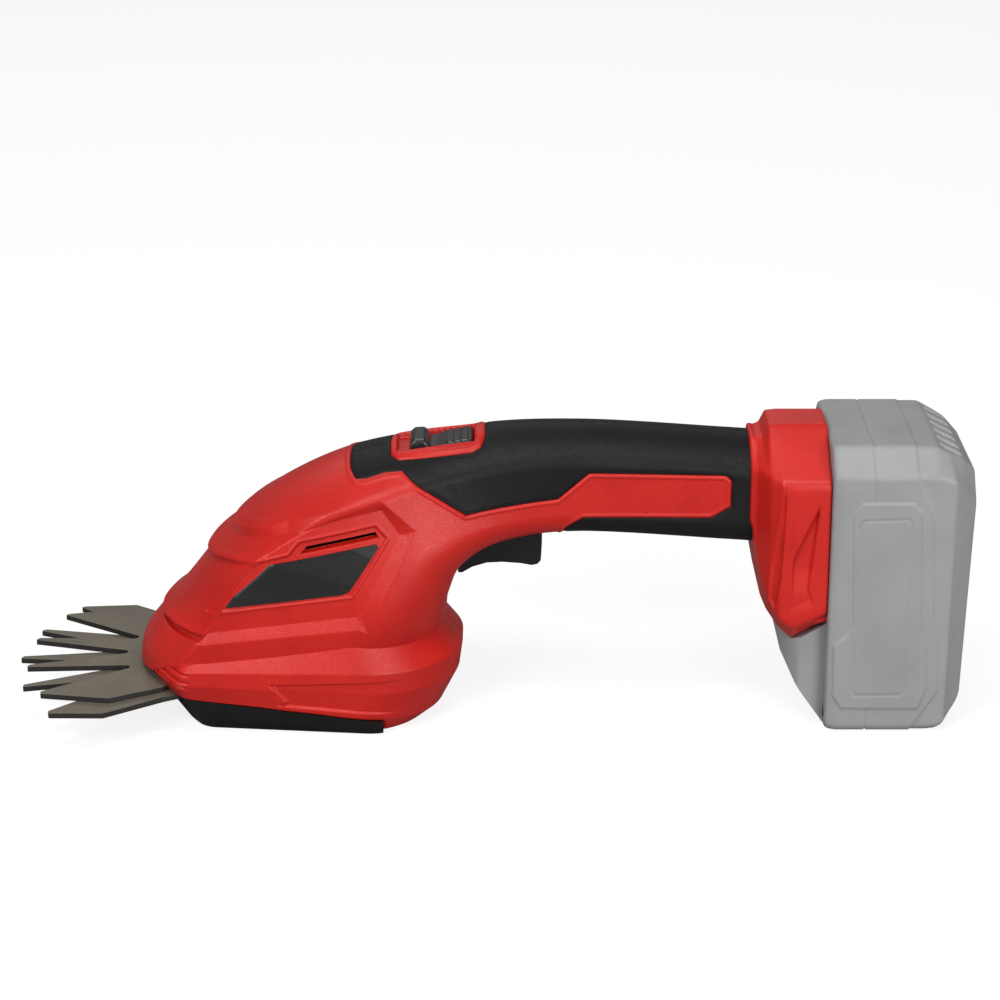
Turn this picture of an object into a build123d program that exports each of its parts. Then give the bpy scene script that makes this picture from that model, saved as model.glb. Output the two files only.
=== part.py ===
"""Cordless grass shear: two-blade cutting head, vertical motor, bail handle and slide-on battery.

Units are millimetres. +Z is up, -X is the cutting end and +X the battery end. Y = 0 is the parting
plane of the two housing halves and Z = 0 is the ground on which the sole heel and battery stand.
"""
from build123d import *
import math
import os
from dataclasses import dataclass

# ---------------------------------------------------------------- lengths along the tool
blade_reach = 45.8          # blade tips to the front of the nose
head_length = 121.8         # nose to the rear of the skirt
handle_length = 105.2       # rear of the skirt to the foot
foot_depth = 28.2           # front of the foot to the battery's face
battery_depth = 53.0        # battery's face to its rear
overall_length = blade_reach + head_length + handle_length + foot_depth + battery_depth

tip_x = -overall_length / 2
nose_x = tip_x + blade_reach
rear_x = nose_x + head_length
foot_x = rear_x + handle_length
face_x = foot_x + foot_depth
back_x = face_x + battery_depth

# ---------------------------------------------------------------- walls and clearances
skin_depth = 1.8            # thickness of the soft grip, and depth of the nose's upper layer
recess_depth = 2.4          # recess round the head, in the sides and the nose's lower layer
shell_wall = 2.4            # moulded wall behind the skin
fit_gap = 0.3               # between pieces that move past each other
seat_gap = 0.25             # between a seated piece and the ribs that carry it
rib_thickness = 2.0
running_gap = 0.05          # radial clearance of a shaft in its bearing
inner_inset = skin_depth + shell_wall

# ---------------------------------------------------------------- head and handle
skirt_half_width = 42.5
head_half_width = 40.0
handle_half_width = 18.3
handle_top = 109.2
handle_bottom = 69.2
guard_bottom = 66.6         # red surround of the trigger
seam_tilt = 7.0             # the sole cover's seam rises towards the blades, degrees
sole_thickness = 5.2
sole_wall = 2.2
sole_rear_x = rear_x - 29.2
label_thickness = 0.6
case_half_width = 31.0

# ---------------------------------------------------------------- blades
blade_thickness = 2.0
blade_gap = 0.1
blade_z = 12.4              # underside of the lower blade
lower_teeth = 5
tooth_pitch = 18.5          # degrees about the pivot
lower_radius = 84.6
upper_radius = 81.5
root_radius = 46.0
tooth_tip_width = 5.0
slot_root_width = 3.6
lower_root_half_width = 38.0
upper_root_half_width = 33.0
blade_hub_radius = 14.0
pivot_bolt_radius = 3.0
pivot_bush_radius = 5.0
pivot_head_height = 3.6
pivot_washer_radius = 8.5
hex_radius = 5.0            # centre to corner of the pivot's bolt head and nut
spacer_x = -2.0             # blade spacers, from the pivot
spacer_y = 24.0
spacer_bore = 2.1
fork_half_width = 11.5
fork_slot_half = 7.7
fork_slot_front = 7.4
fork_reach = 6.0
mouth_gap = 0.4             # blades to the edges of the mouth

# ---------------------------------------------------------------- gear train
eccentric_arm = 20.0        # blade pivot to the drive gear's axis
eccentric_throw = 2.6
eccentric_pin_radius = 2.2
roller_radius = 3.5
motor_offset = 12.0         # drive gear's axis back to the motor's
first_module = 0.7
pinion_teeth = 9
wheel_teeth = 36
second_module = 0.8
idler_teeth = 12
drive_teeth = 30
gear_thickness = 4.4
shaft_radius = 1.6
idler_pin_radius = 2.0
case_wall = 2.6
spring_washer_height = 1.4
mesh_gap = 0.1
journal_radius = 8.0
bearing_radius = 10.2
gear_lift = 0.4             # gears to the case floor
gear_room = 1.6             # round the gears, to the case wall

# ---------------------------------------------------------------- motor
motor_radius = 18.0
motor_length = 41.0
motor_cap_height = 4.5
motor_wall = 1.2
magnet_thickness = 2.0
air_gap = 0.5
magnet_height = 22.0
rotor_poles = 5

# ---------------------------------------------------------------- trigger and lock
trigger_width = 16.0
trigger_pin_radius = 2.0
plunger_arm = 13.0
plunger_radius = 2.0
plunger_gap = 0.4           # trigger pad to the plunger's tip
pin_boss_wall = 2.4
spring_floor = 71.0         # top face of the trigger under the spring
trigger_pad = 76.0          # top face of the trigger under the plunger
switch_length = 26.0
switch_height = 14.0
switch_z = 80.0
spring_radius = 2.6
spring_wire = 0.8
spring_turns = 4
lock_width = 16.4
lock_length = 23.0
lock_travel = 4.6
lock_stem_width = 6.0
lock_floor = 98.6

# ---------------------------------------------------------------- battery and its foot
battery_width = 75.0
battery_top = 108.5
battery_wall = 2.2
battery_seam = 13.5         # depth of the front shell behind the face
foot_half_width = 33.5
foot_top = 110.6
foot_shoulder = 95.5
foot_bottom = 33.0
foot_bevel = 7.5            # rise of the foot's underside towards the battery
tongue_width = 46.0
tongue_neck_width = 38.0
tongue_depth = 11.5
tongue_bottom = 30.0
tongue_top = 92.0
wire_top = 102.0
terminal_block_half = 21.0
rail_thickness = 5.0
terminal_count = 4
terminal_pitch = 9.0
terminal_thickness = 1.0
terminal_width = 7.0
terminal_length = 15.0
cell_radius = 9.2
cell_length = 65.0
cell_columns = 2
cell_rows = 5
cell_z = 12.0
latch_width = 22.0

# ---------------------------------------------------------------- fasteners
screw_radius = 1.5
screw_head_radius = 2.9
screw_head_height = 2.2
boss_radius = 4.0
screw_depth = 11.0          # pilot hole left of the parting plane
screw_seat = 9.0            # parting plane to the heads on the right
sole_screw_y = 25.0
sole_screw_seat = 4.0

# ---------------------------------------------------------------- places worked out from the sizes
blade_pivot_x = tip_x + lower_radius
drive_x = blade_pivot_x + eccentric_arm
motor_x = drive_x + motor_offset
upper_blade_z = blade_z + blade_thickness + blade_gap
blade_top_z = upper_blade_z + blade_thickness
case_floor_z = blade_top_z + spring_washer_height
gear_z = case_floor_z + case_wall + gear_lift
wheel_z = gear_z + gear_thickness + 0.6
case_top_z = wheel_z + gear_thickness + 0.8
motor_seat_z = case_top_z + case_wall
motor_top = motor_seat_z + motor_length + motor_cap_height
trigger_pivot = (rear_x + 5.4, 66.5)
plunger_x = trigger_pivot[0] + plunger_arm
switch_x = plunger_x - 6.0
spring_x = rear_x + 24.3
lock_x = rear_x - 19.2
terminal_x = face_x - 8.2
terminal_z = tongue_top + fit_gap
cell_pitch = 2 * cell_radius + 0.5
cell_x = face_x + 13.2


# ================================================================= small helpers
def cylinder_z(x, y, z, radius, height):
    """Upright cylinder whose bottom centre is at (x, y, z)."""
    return Pos(x, y, z + height / 2) * Cylinder(radius, height)


def cylinder_y(x, z, radius, y_low, y_high):
    """Cylinder along Y between two Y values."""
    middle = Pos(x, (y_low + y_high) / 2, z)
    return middle * Rot(90, 0, 0) * Cylinder(radius, y_high - y_low)


def block(x_low, x_high, y_low, y_high, z_low, z_high):
    """Box given by its low and high corners."""
    centre = Pos((x_low + x_high) / 2, (y_low + y_high) / 2, (z_low + z_high) / 2)
    return centre * Box(x_high - x_low, y_high - y_low, z_high - z_low)


def side_prism(points, y_low, y_high):
    """Outline drawn in the XZ plane, run between two Y values."""
    face = make_face(Polyline(*points, close=True))
    return Pos(0, y_high, 0) * extrude(Plane.XZ * face, y_high - y_low)


def plan_prism(points, z_low, z_high):
    """Outline drawn in the XY plane, run between two heights."""
    face = make_face(Polyline(*points, close=True))
    return Pos(0, 0, z_low) * extrude(face, z_high - z_low)


def polar(radius, angle, x=0.0, y=0.0):
    """Point at an angle from -X, measured about (x, y) towards +Y."""
    turn = math.radians(angle)
    return (x - radius * math.cos(turn), y + radius * math.sin(turn))


# ================================================================= body lofts
@dataclass(frozen=True)
class Station:
    """One cross-section of the body, in the plane through its rear and crown points."""
    rear: tuple
    crown: tuple
    rear_width: float       # half width at the rear end
    front_width: float      # half width where the crown's arc starts
    bulge: float            # height of the crown's arc
    rear_round: float
    front_round: float


SECTION_SIZES = ("rear_width", "front_width", "bulge", "rear_round", "front_round")


def half_outline(station, inset):
    """Corner points and radii of a section moved in by inset: rear corner, knee and crown."""
    length = math.dist(station.rear, station.crown)
    arch = (station.front_width ** 2 + station.bulge ** 2) / (2 * station.bulge)
    front_w = station.front_width - inset
    knee = length - arch + math.sqrt((arch - inset) ** 2 - front_w ** 2)
    return (inset, station.rear_width - inset), (knee, front_w), (length - inset, 0.0), arch - inset


def section_plane(station):
    """Plane of a section: its x runs from the rear point to the crown point."""
    run_x = station.crown[0] - station.rear[0]
    run_z = station.crown[1] - station.rear[1]
    origin = (station.rear[0], 0, station.rear[1])
    return Plane(origin=origin, x_dir=(run_x, 0, run_z), z_dir=(-run_z, 0, run_x))


def station_face(station, inset):
    """Closed section: flat rear, two sides and an arched crown, moved in by inset."""
    (rear, rear_w), (knee, front_w), crown, _ = half_outline(station, inset)
    outline = [
        Line((rear, -rear_w), (rear, rear_w)),
        Line((rear, rear_w), (knee, front_w)),
        ThreePointArc((knee, front_w), crown, (knee, -front_w)),
        Line((knee, -front_w), (rear, -rear_w)),
    ]
    face = make_face(outline)
    rear_corners = face.vertices().sort_by(Axis.X)[:2]
    face = fillet(rear_corners, max(station.rear_round - inset, 1.0))
    for side in (1, -1):
        corner = face.vertices().sort_by_distance((knee, side * front_w, 0))[0]
        face = fillet(corner, max(station.front_round - inset, 1.0))
    return section_plane(station) * face


def room_face(station, inset):
    """The same section drawn with straight runs, for the room inside the walls."""
    (rear, rear_w), (knee, front_w), crown, arch = half_outline(station, inset)
    turn = max(station.rear_round - inset, 1.0)
    slack = turn * (1 - math.sqrt(0.5))
    side = [(rear, rear_w - turn), (rear + slack, rear_w - slack), (rear + turn, rear_w), (knee, front_w)]
    for share in (2 / 3, 1 / 3):
        y = front_w * share
        side.append((crown[0] - arch + math.sqrt(arch ** 2 - y ** 2), y))
    points = side + [crown] + [(x, -y) for x, y in reversed(side)]
    return section_plane(station) * make_face(Polyline(*points, close=True))


def between(stations, share):
    """Section part of the way from the second station to the third, on a smooth curve through all four."""
    t = share
    near = (2 - 5 * t ** 2 + 3 * t ** 3, t + 4 * t ** 2 - 3 * t ** 3)
    weights = (2 * t ** 2 - t - t ** 3, *near, t ** 3 - t ** 2)

    def blend(values):
        return sum(w * v for w, v in zip(weights, values)) / 2

    rear = tuple(blend([s.rear[i] for s in stations]) for i in (0, 1))
    crown = tuple(blend([s.crown[i] for s in stations]) for i in (0, 1))
    sizes = [blend([getattr(s, name) for s in stations]) for name in SECTION_SIZES]
    return Station(rear, crown, *sizes)


def refined(stations, steps):
    """Stations with more between them, so that straight runs follow the smooth form."""
    result = []
    last = len(stations) - 1
    for i in range(last):
        group = [stations[max(i - 1, 0)], stations[i], stations[i + 1], stations[min(i + 2, last)]]
        result += [between(group, k / steps) for k in range(steps)]
    return result + [stations[-1]]


def body_stations():
    """Sections of head and handle, from the skirt up over the nose and back along the handle."""
    n, r, f = nose_x, rear_x, foot_x
    hw, gw = head_half_width, handle_half_width
    top, low, guard = handle_top, handle_bottom, guard_bottom
    return [
        Station((r - 3.0, 15.0), (n + 5.0, 15.0), hw - 1.5, hw - 2.5, 17.0, 14.0, 7.0),
        Station((r - 6.0, 41.0), (n + 11.2, 41.0), hw - 1.5, hw - 0.3, 17.5, 24.0, 7.0),
        Station((r - 4.8, 48.5), (n + 35.0, 70.0), hw - 2.5, hw - 1.2, 17.0, 24.0, 7.0),
        Station((r + 0.4, 59.3), (n + 75.3, 94.7), hw - 7.5, hw - 7.0, 14.0, 18.0, 7.0),
        Station((r + 15.2, guard), (r + 2.0, top - 3.1), gw + 3.6, gw + 3.2, 11.0, 10.0, 7.0),
        Station((r + 43.4, low), (r + 43.4, top - 0.7), gw, gw, 10.0, 10.0, 7.0),
        Station((f - 8.0, low - 3.0), (f - 8.0, top - 3.9), gw + 0.3, gw + 0.3, 10.0, 10.0, 7.0),
        Station((f + 3.0, low - 3.7), (f + 3.0, top - 4.8), gw + 0.7, gw + 0.7, 10.0, 10.0, 7.0),
    ]


def skirt_stations():
    """Sections of the boat-shaped skirt, from the flat sole up to the chamfered ledge."""
    n, r, w = nose_x, rear_x, skirt_half_width
    seam_rear = (r - 9.6, seam_height(r - 9.6))
    seam_front = (n + 5.0, seam_height(n + 5.0))
    return [
        Station((r - 20.0, 0.0), (n + 15.0, 0.0), w - 2.5, w - 10.0, 12.0, 14.0, 9.0),
        Station(seam_rear, seam_front, w - 0.8, w - 3.2, 14.5, 14.0, 8.0),
        Station((r - 1.6, 21.1), (n, 21.1), w, w - 0.7, 16.5, 14.0, 7.0),
        Station((r, 35.5), (n + 1.0, 25.6), w - 0.3, w - 1.2, 17.0, 12.0, 7.0),
        Station((r - 4.8, 43.0), (n + 2.4, 27.2), w - 2.2, w - 2.7, 17.0, 11.0, 7.0),
    ]


def seam_height(x):
    """Height at x of the seam between the red skirt and the black sole cover."""
    return sole_thickness - math.tan(math.radians(seam_tilt)) * (x - sole_rear_x)


def near_half(solid):
    """Part of a solid on the operator's left of the parting plane."""
    return solid & block(-300, 300, -100, 0, -50, 200)


def body_loft(inset):
    """Left half of head and handle, moved in by inset."""
    faces = [station_face(s, inset) for s in refined(body_stations(), 2)]
    return near_half(loft(faces, ruled=True))


def body_room():
    """Room inside the walls of the left half of head and handle."""
    faces = [room_face(s, inner_inset) for s in refined(body_stations(), 2)]
    return near_half(loft(faces, ruled=True))


def skirt_loft(inset):
    """Left half of the skirt, moved in by inset and flat where it meets the ground."""
    skirt = near_half(loft([station_face(s, inset) for s in skirt_stations()], ruled=True))
    return skirt - block(-300, 300, -100, 100, -10, 0)


def skirt_room():
    """Room inside the walls of the left half of the skirt."""
    return near_half(loft([room_face(s, inner_inset) for s in skirt_stations()], ruled=True))


# ================================================================= outlines on the side
def grip_outline():
    """Side view of the soft grip: the whole handle, less the red arm panel that reaches into it."""
    r, f = rear_x, foot_x
    return [
        (r - 43.8, 125.0), (r - 43.8, 102.0), (r - 42.9, 99.0), (r - 41.1, 95.0), (r - 38.7, 93.3),
        (r - 34.7, 93.9), (r - 28.2, 95.7), (r - 21.8, 96.4), (r - 18.2, 94.0), (r + 1.5, 80.2),
        (r + 15.6, 82.0), (r + 35.1, 84.4), (r + 46.4, 94.2), (f - 9.1, 93.4), (f - 7.2, 91.6),
        (f - 7.3, 81.9), (f - 14.2, 77.6), (r + 44.2, 77.5), (r + 41.0, 75.5), (r + 37.8, 73.0),
        (r + 33.0, 60.0), (f, 55.0), (f, 125.0),
    ]


def bezel_outline():
    """Side view of the red surround of the lock slider."""
    r = rear_x
    return [
        (r - 27.0, 125.0), (r - 27.4, 101.3), (r - 25.8, 98.0), (r - 23.1, 97.0), (r - 10.8, 98.4),
        (r + 3.1, 99.8), (r + 6.4, 101.3), (r + 8.0, 104.4), (r + 8.2, 125.0),
    ]


def recess_outline():
    """Side view of the recess that runs from the flat of the head round the nose."""
    n, r = nose_x, rear_x
    return [
        (n - 20.0, 34.0), (n - 20.0, 51.2), (n + 36.0, 71.2), (n + 52.2, 77.0), (n + 58.4, 79.3),
        (r - 29.3, 87.2), (r - 19.4, 76.6), (r - 36.5, 42.6), (n + 27.0, 37.3), (n + 8.0, 35.6),
    ]


def upper_layer_outline():
    """Side view of the nose's upper layer, which overlaps the lower one."""
    n = nose_x
    return [
        (n - 20.0, 80.0), (n - 20.0, 50.6), (n + 22.4, 58.2), (n + 33.7, 64.2), (n + 44.0, 66.5),
        (n + 50.0, 71.0), (n + 58.4, 80.0),
    ]


def label_outline():
    """Side view of the rating plate, a parallelogram with one clipped corner."""
    n = nose_x
    return [
        (n + 35.7, 49.4), (n + 46.4, 64.6), (n + 90.7, 72.4), (n + 91.6, 71.2), (n + 80.9, 55.3),
        (n + 78.1, 54.1),
    ]


def vent_outline():
    """Side view of the cooling slot above the rating plate."""
    n = nose_x
    return [(n + 64.0, 70.0), (n + 65.3, 72.3), (n + 90.3, 77.3), (n + 92.0, 75.7)]


# ================================================================= housing
def foot_side_outline():
    """Side view of the foot, from the handle's end to the battery's face."""
    f, b = foot_x, face_x
    return [
        (f, 104.4), (f + 4.8, 105.2), (f + 6.6, foot_top), (b - 1.5, foot_top), (b, foot_top - 1.5),
        (b, foot_bottom + foot_bevel), (b - 12.6, foot_bottom), (f + 8.3, 40.0), (f + 4.4, 47.0),
        (f + 2.3, 56.0), (f + 2.2, 68.0), (f, 71.5),
    ]


def foot_block():
    """Faceted foot: its side, plan and front outlines crossed with one another."""
    f, b, w = foot_x, face_x, foot_half_width
    side = side_prism(foot_side_outline(), -w, w)
    plan = [(f - 1, 19.6), (f + 4.5, 21.0), (f + 10.5, w - 0.6), (b + 1, w)]
    plan += [(x, -y) for x, y in reversed(plan)]
    front = [(9.5, foot_top + 0.01), (w, foot_shoulder), (w, 40.0), (w - 7.0, foot_bottom - 0.01)]
    front += [(-y, z) for y, z in reversed(front)]
    front_face = Plane.YZ * make_face(Polyline(*front, close=True))
    front_bar = Pos(f - 1, 0, 0) * extrude(front_face, b - f + 2)
    return side & plan_prism(plan, foot_bottom - 1, foot_top + 1) & front_bar


def battery_pocket(gap):
    """T-shaped channel that the battery's tongue slides up into, grown by gap."""
    b = face_x
    low, high = foot_bottom - 8, tongue_top + gap
    head_w, neck_w = tongue_width / 2 + gap, tongue_neck_width / 2 + gap
    head = block(b - tongue_depth - gap, b - rail_thickness + gap, -head_w, head_w, low, high)
    neck = block(b - rail_thickness, b + 1, -neck_w, neck_w, low, high)
    return head + neck


def foot_cavity():
    """Wiring chamber between the handle's bore and the terminal block."""
    f, b = foot_x, face_x
    w = terminal_block_half + seat_gap
    chamber = block(f + 6, b - rail_thickness + seat_gap, -w, w, terminal_z, wire_top + seat_gap)
    return chamber + block(f - 4, f + 8, -12, 12, 76, wire_top - 1)


def skirt_cavity():
    """Room inside the skirt, with the floor and front wall of the red heel left standing."""
    room = skirt_room()
    heel = block(sole_rear_x, rear_x, -60, 60, -1, shell_wall)
    step = block(sole_rear_x, sole_rear_x + shell_wall, -60, 60, -1, sole_thickness + 2)
    return room - heel - step


def below_seam():
    """Everything under the seam line, in front of the heel."""
    front, rear = nose_x - 10, sole_rear_x
    outline = [(rear, -5), (rear, seam_height(rear)), (front, seam_height(front)), (front, -5)]
    return side_prism(outline, -60, 60)


def blade_slot():
    """Mouth between nose and sole that the two blades come out of."""
    n, p = nose_x, blade_pivot_x
    plan = [(n - 30, 70), (n + 10, 41.5), (n + 30, 33), (p + 14.2, 31), (p + 14.2, 18), (drive_x + 10, 18)]
    plan += [(x, -y) for x, y in reversed(plan)]
    return plan_prism(plan, blade_z - mouth_gap, upper_blade_z + blade_thickness + mouth_gap)


def trigger_opening():
    """Slot in the belly of the handle that the trigger swings in."""
    r, w = rear_x, trigger_width / 2 + fit_gap
    outline = [(r - 3.6, 50.5), (r + 30.1, 50.5), (r + 30.1, 74.0), (r - 3.6, 70.0)]
    return side_prism(outline, -w, w)


def lock_pocket():
    """Tray the lock slider runs in, and the slot for its stem."""
    r, w = rear_x, lock_width / 2 + fit_gap
    front = lock_x - lock_travel - fit_gap
    tray = block(front, lock_x + lock_length + fit_gap, -w, w, lock_floor, 120)
    stem_w = lock_stem_width / 2 + fit_gap
    slot = block(lock_x + 2.0 - lock_travel, lock_x + lock_length - 7.0, -stem_w, stem_w, 90, 120)
    return tray + slot


def lock_tray_walls():
    """Extra material under the bezel that the tray is sunk into."""
    w = lock_width / 2 + shell_wall
    front = lock_x - lock_travel - shell_wall
    return block(front, lock_x + lock_length + shell_wall, -w, w, lock_floor - shell_wall, 120)


def screw_places():
    """Centres, in the side view, of the screws that close the housing."""
    n, r, f = nose_x, rear_x, foot_x
    return [
        (n + 27.0, 44.0), (r - 18.6, 22.0), (r - 25.0, 90.5), (r + 58.0, 87.5), (f - 5.0, 84.0),
        (f + 10.0, 52.0), (f + 10.5, 101.0),
    ]


def screw_bosses():
    """Posts that the housing's screws run in."""
    bosses = Part()
    for x, z in screw_places():
        bosses += cylinder_y(x, z, boss_radius, -60, 60)
    return bosses


def trigger_pin_bosses():
    """Two bosses that carry the ends of the trigger's pin."""
    x, z = trigger_pivot
    inner = trigger_width / 2 + fit_gap
    return cylinder_y(x, z, trigger_pin_radius + pin_boss_wall, inner, 30) + cylinder_y(
        x, z, trigger_pin_radius + pin_boss_wall, -30, -inner)


def case_outline(grow):
    """Plan of the gear case."""
    x_low, x_high = blade_pivot_x - 10.0 - grow, motor_x + 16.0 + grow
    w = case_half_width + grow
    return Pos((x_low + x_high) / 2, 0, 0) * RectangleRounded(x_high - x_low, 2 * w, 8)


def cradle_ribs():
    """Floor rib round the gear case and two ribs round the motor."""
    ribs = Part()
    for z in (motor_seat_z + 7, motor_seat_z + 27):
        slab = block(motor_x - 34, motor_x + 24, -60, 60, z, z + rib_thickness)
        ribs += slab - cylinder_z(motor_x, 0, z - 1, motor_radius + seat_gap, rib_thickness + 2)
    low = case_floor_z + 1
    slab = block(blade_pivot_x - 16, motor_x + 24, -60, 60, low, low + rib_thickness)
    return ribs + (slab - Pos(0, 0, case_floor_z) * extrude(case_outline(seat_gap), 6))


def switch_ribs():
    """Two cross walls that hold the switch in the handle."""
    x_low, x_high = switch_x - seat_gap, switch_x + switch_length + seat_gap
    front = block(x_low - rib_thickness, x_low, -30, 30, switch_z + 4, 120)
    rear = block(x_high, x_high + rib_thickness, -30, 30, switch_z + 4, 120)
    return front + rear


def grip_region():
    """Everything, seen from the side, that the soft grip covers."""
    return side_prism(grip_outline(), -60, 0) - side_prism(bezel_outline(), -60, 0)


def head_recess(skin, floor):
    """What the recess and the nose's layers take off the head: skin is the upper layer, floor the rest."""
    region = side_prism(recess_outline(), -60, 0)
    return (region - skin) + (region - side_prism(upper_layer_outline(), -60, 0) - floor)


def housing_half(skin, floor):
    """Left half of the housing with its recess, grip seat, ribs and bosses, but no screw holes."""
    outer = body_loft(0) + skirt_loft(0) + near_half(foot_block())
    cavity = body_room() - block(foot_x - 3, face_x, -60, 60, 0, 130)
    cavity += skirt_cavity()
    cavity += near_half(foot_cavity())
    for kept in (screw_bosses(), trigger_pin_bosses(), cradle_ribs(), switch_ribs(), lock_tray_walls()):
        cavity -= near_half(kept)
    shell = outer - cavity
    for cut in (below_seam(), blade_slot(), trigger_opening(), lock_pocket(), battery_pocket(fit_gap)):
        shell -= cut
    x, z = trigger_pivot
    shell -= cylinder_y(x, z, trigger_pin_radius + running_gap, -13, 13)
    shell -= grip_region() - skin
    shell -= head_recess(skin, floor)
    return shell - side_prism(vent_outline(), -60, -20)


def grip_half(skin):
    """Soft overmoulded grip on the left half."""
    return (body_loft(0) & grip_region()) - skin - lock_pocket()


def housing_left(half, label_bed):
    """Operator's left half: pilot holes for the screws and a bed for the rating plate."""
    for x, z in screw_places():
        half -= cylinder_y(x, z, screw_radius - 0.3, -screw_depth, 1)
    return half - label_bed


def housing_right(half):
    """Right half: the screws enter here through counterbores."""
    half = mirror(half, about=Plane.XZ)
    for x, z in screw_places():
        half -= cylinder_y(x, z, screw_radius + 0.2, -1, 60)
        half -= cylinder_y(x, z, screw_head_radius + fit_gap, screw_seat, 60)
    return half


def housing_screws():
    """Pan-head screws, heads on the right."""
    screws = []
    for x, z in screw_places():
        shank = cylinder_y(x, z, screw_radius - 0.35, -screw_depth + 1, screw_seat)
        head = cylinder_y(x, z, screw_head_radius, screw_seat, screw_seat + screw_head_height)
        slot = block(x - 0.5, x + 0.5, screw_seat + 1.2, screw_seat + 4, z - 2, z + 2)
        cross = block(x - 2, x + 2, screw_seat + 1.2, screw_seat + 4, z - 0.5, z + 0.5)
        screws.append(shank + head - slot - cross)
    return screws


# ================================================================= sole cover
def sole_screw_places():
    """Two screws beside the drive gear and two under the rear of the gear case."""
    return [(x, y) for x in (drive_x - 1.0, motor_x + 9.0) for y in (-sole_screw_y, sole_screw_y)]


def sole_cover():
    """Black shoe under the head: flat underside, boat-shaped bow and posts for its screws."""
    outer = both_halves(skirt_loft(0))
    inner = both_halves(skirt_room()) - block(-300, 300, -60, 60, -5, sole_wall)
    shoe = (outer - inner) & below_seam()
    for x, y in sole_screw_places():
        shoe += cylinder_z(x, y, 0.5, boss_radius, case_floor_z - seat_gap - 0.5)
    x_low, x_high = blade_pivot_x - 12, sole_rear_x - 3
    for y in (-12.0, 0.0, 12.0):
        shoe += block(x_low, x_high, y - 0.8, y + 0.8, sole_wall - 0.5, sole_wall + 3.0)
    for x, y in sole_screw_places():
        shoe -= cylinder_z(x, y, -1, screw_radius + 0.2, 40)
        shoe -= cylinder_z(x, y, -1, screw_head_radius + fit_gap, sole_screw_seat + 1)
    return shoe - blade_slot()


def both_halves(half):
    """A left half joined with its mirror image."""
    return half + mirror(half, about=Plane.XZ)


def sole_screws():
    """Screws that hold the sole cover to the gear case."""
    screws = []
    for x, y in sole_screw_places():
        shank = cylinder_z(x, y, sole_screw_seat, screw_radius - 0.1, case_floor_z + 2.0 - sole_screw_seat)
        head = cylinder_z(x, y, sole_screw_seat - screw_head_height, screw_head_radius, screw_head_height)
        cross = block(x - 2, x + 2, y - 0.5, y + 0.5, 0, sole_screw_seat - 1.2)
        screws.append(shank + head - cross)
    return screws


# ================================================================= blades
def tooth_slots(count, offset, reach, thickness, z):
    """Tapered gaps between teeth: narrow and round at the root, wide at the tips."""
    slots = Part()
    root_w = slot_root_width / 2
    gap_w = math.radians(tooth_pitch) * reach / 2 - tooth_tip_width / 2
    far = reach + 3.0
    far_w = root_w + (gap_w - root_w) * (far - root_radius) / (reach - root_radius)
    for i in range(count - 1):
        angle = (i - (count - 2) / 2) * tooth_pitch + offset
        profile = make_face(Polyline((-root_radius, -root_w), (-far, -far_w), (-far, far_w),
                                     (-root_radius, root_w), close=True))
        slot = extrude(profile + Pos(-root_radius, 0) * Circle(root_w), thickness + 2)
        slots += Pos(blade_pivot_x, 0, z - 1) * Rot(0, 0, -angle) * slot
    return slots


def blade_blank(count, reach, shoulder_x, shoulder_w, root_x, root_w, thickness, z):
    """Fan of steel from the blade's waist to the arc of its tips."""
    edge_angle = (count - 1) / 2 * tooth_pitch
    edge = math.degrees(math.atan2(tooth_tip_width / 2, reach))
    tip = polar(reach, edge_angle + edge, blade_pivot_x)
    tip_low = (tip[0], -tip[1])
    outline = [
        Line((root_x, -root_w), (shoulder_x, -shoulder_w)),
        Line((shoulder_x, -shoulder_w), tip_low),
        ThreePointArc(tip_low, (blade_pivot_x - reach, 0), tip),
        Line(tip, (shoulder_x, shoulder_w)),
        Line((shoulder_x, shoulder_w), (root_x, root_w)),
        Line((root_x, root_w), (root_x, -root_w)),
    ]
    return Pos(0, 0, z) * extrude(make_face(outline), thickness)


def lower_blade():
    """Fixed five-tooth blade with its mounting ears behind the mouth."""
    p = blade_pivot_x
    fan = blade_blank(lower_teeth, lower_radius, p - 47.2, 52.3, p - 27.2, lower_root_half_width,
                      blade_thickness, blade_z)
    plan = [(p - 27.3, lower_root_half_width), (p - 13, 30), (p + 13.5, 28)]
    plan += [(x, -y) for x, y in reversed(plan)]
    blade = fan + plan_prism(plan, blade_z, blade_z + blade_thickness)
    blade -= tooth_slots(lower_teeth, 0, lower_radius, blade_thickness, blade_z)
    blade -= cylinder_z(p, 0, blade_z - 1, pivot_bush_radius + running_gap, 5)
    for y in (-spacer_y, spacer_y):
        blade -= cylinder_z(p + spacer_x, y, blade_z - 1, spacer_bore, 5)
    return blade


def upper_blade():
    """Moving four-tooth blade: hub on the pivot bush and a fork that the crank roller drives."""
    p, z = blade_pivot_x, upper_blade_z
    count = lower_teeth - 1
    fan = blade_blank(count, upper_radius, p - 46.0, 43.5, p - 27.2, upper_root_half_width,
                      blade_thickness, z)
    plan = [(p - 27.3, upper_root_half_width), (p - 12, blade_hub_radius), (p + 2, blade_hub_radius),
            (drive_x - 8.0, fork_half_width), (drive_x + fork_reach, fork_half_width)]
    plan += [(x, -y) for x, y in reversed(plan)]
    blade = fan + plan_prism(plan, z, z + blade_thickness)
    blade -= tooth_slots(count, 0, upper_radius, blade_thickness, z)
    blade -= block(drive_x - fork_slot_front, drive_x + 30, -fork_slot_half, fork_slot_half, z - 1, z + 4)
    return blade - cylinder_z(p, 0, z - 1, pivot_bush_radius + running_gap, 5)


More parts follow.
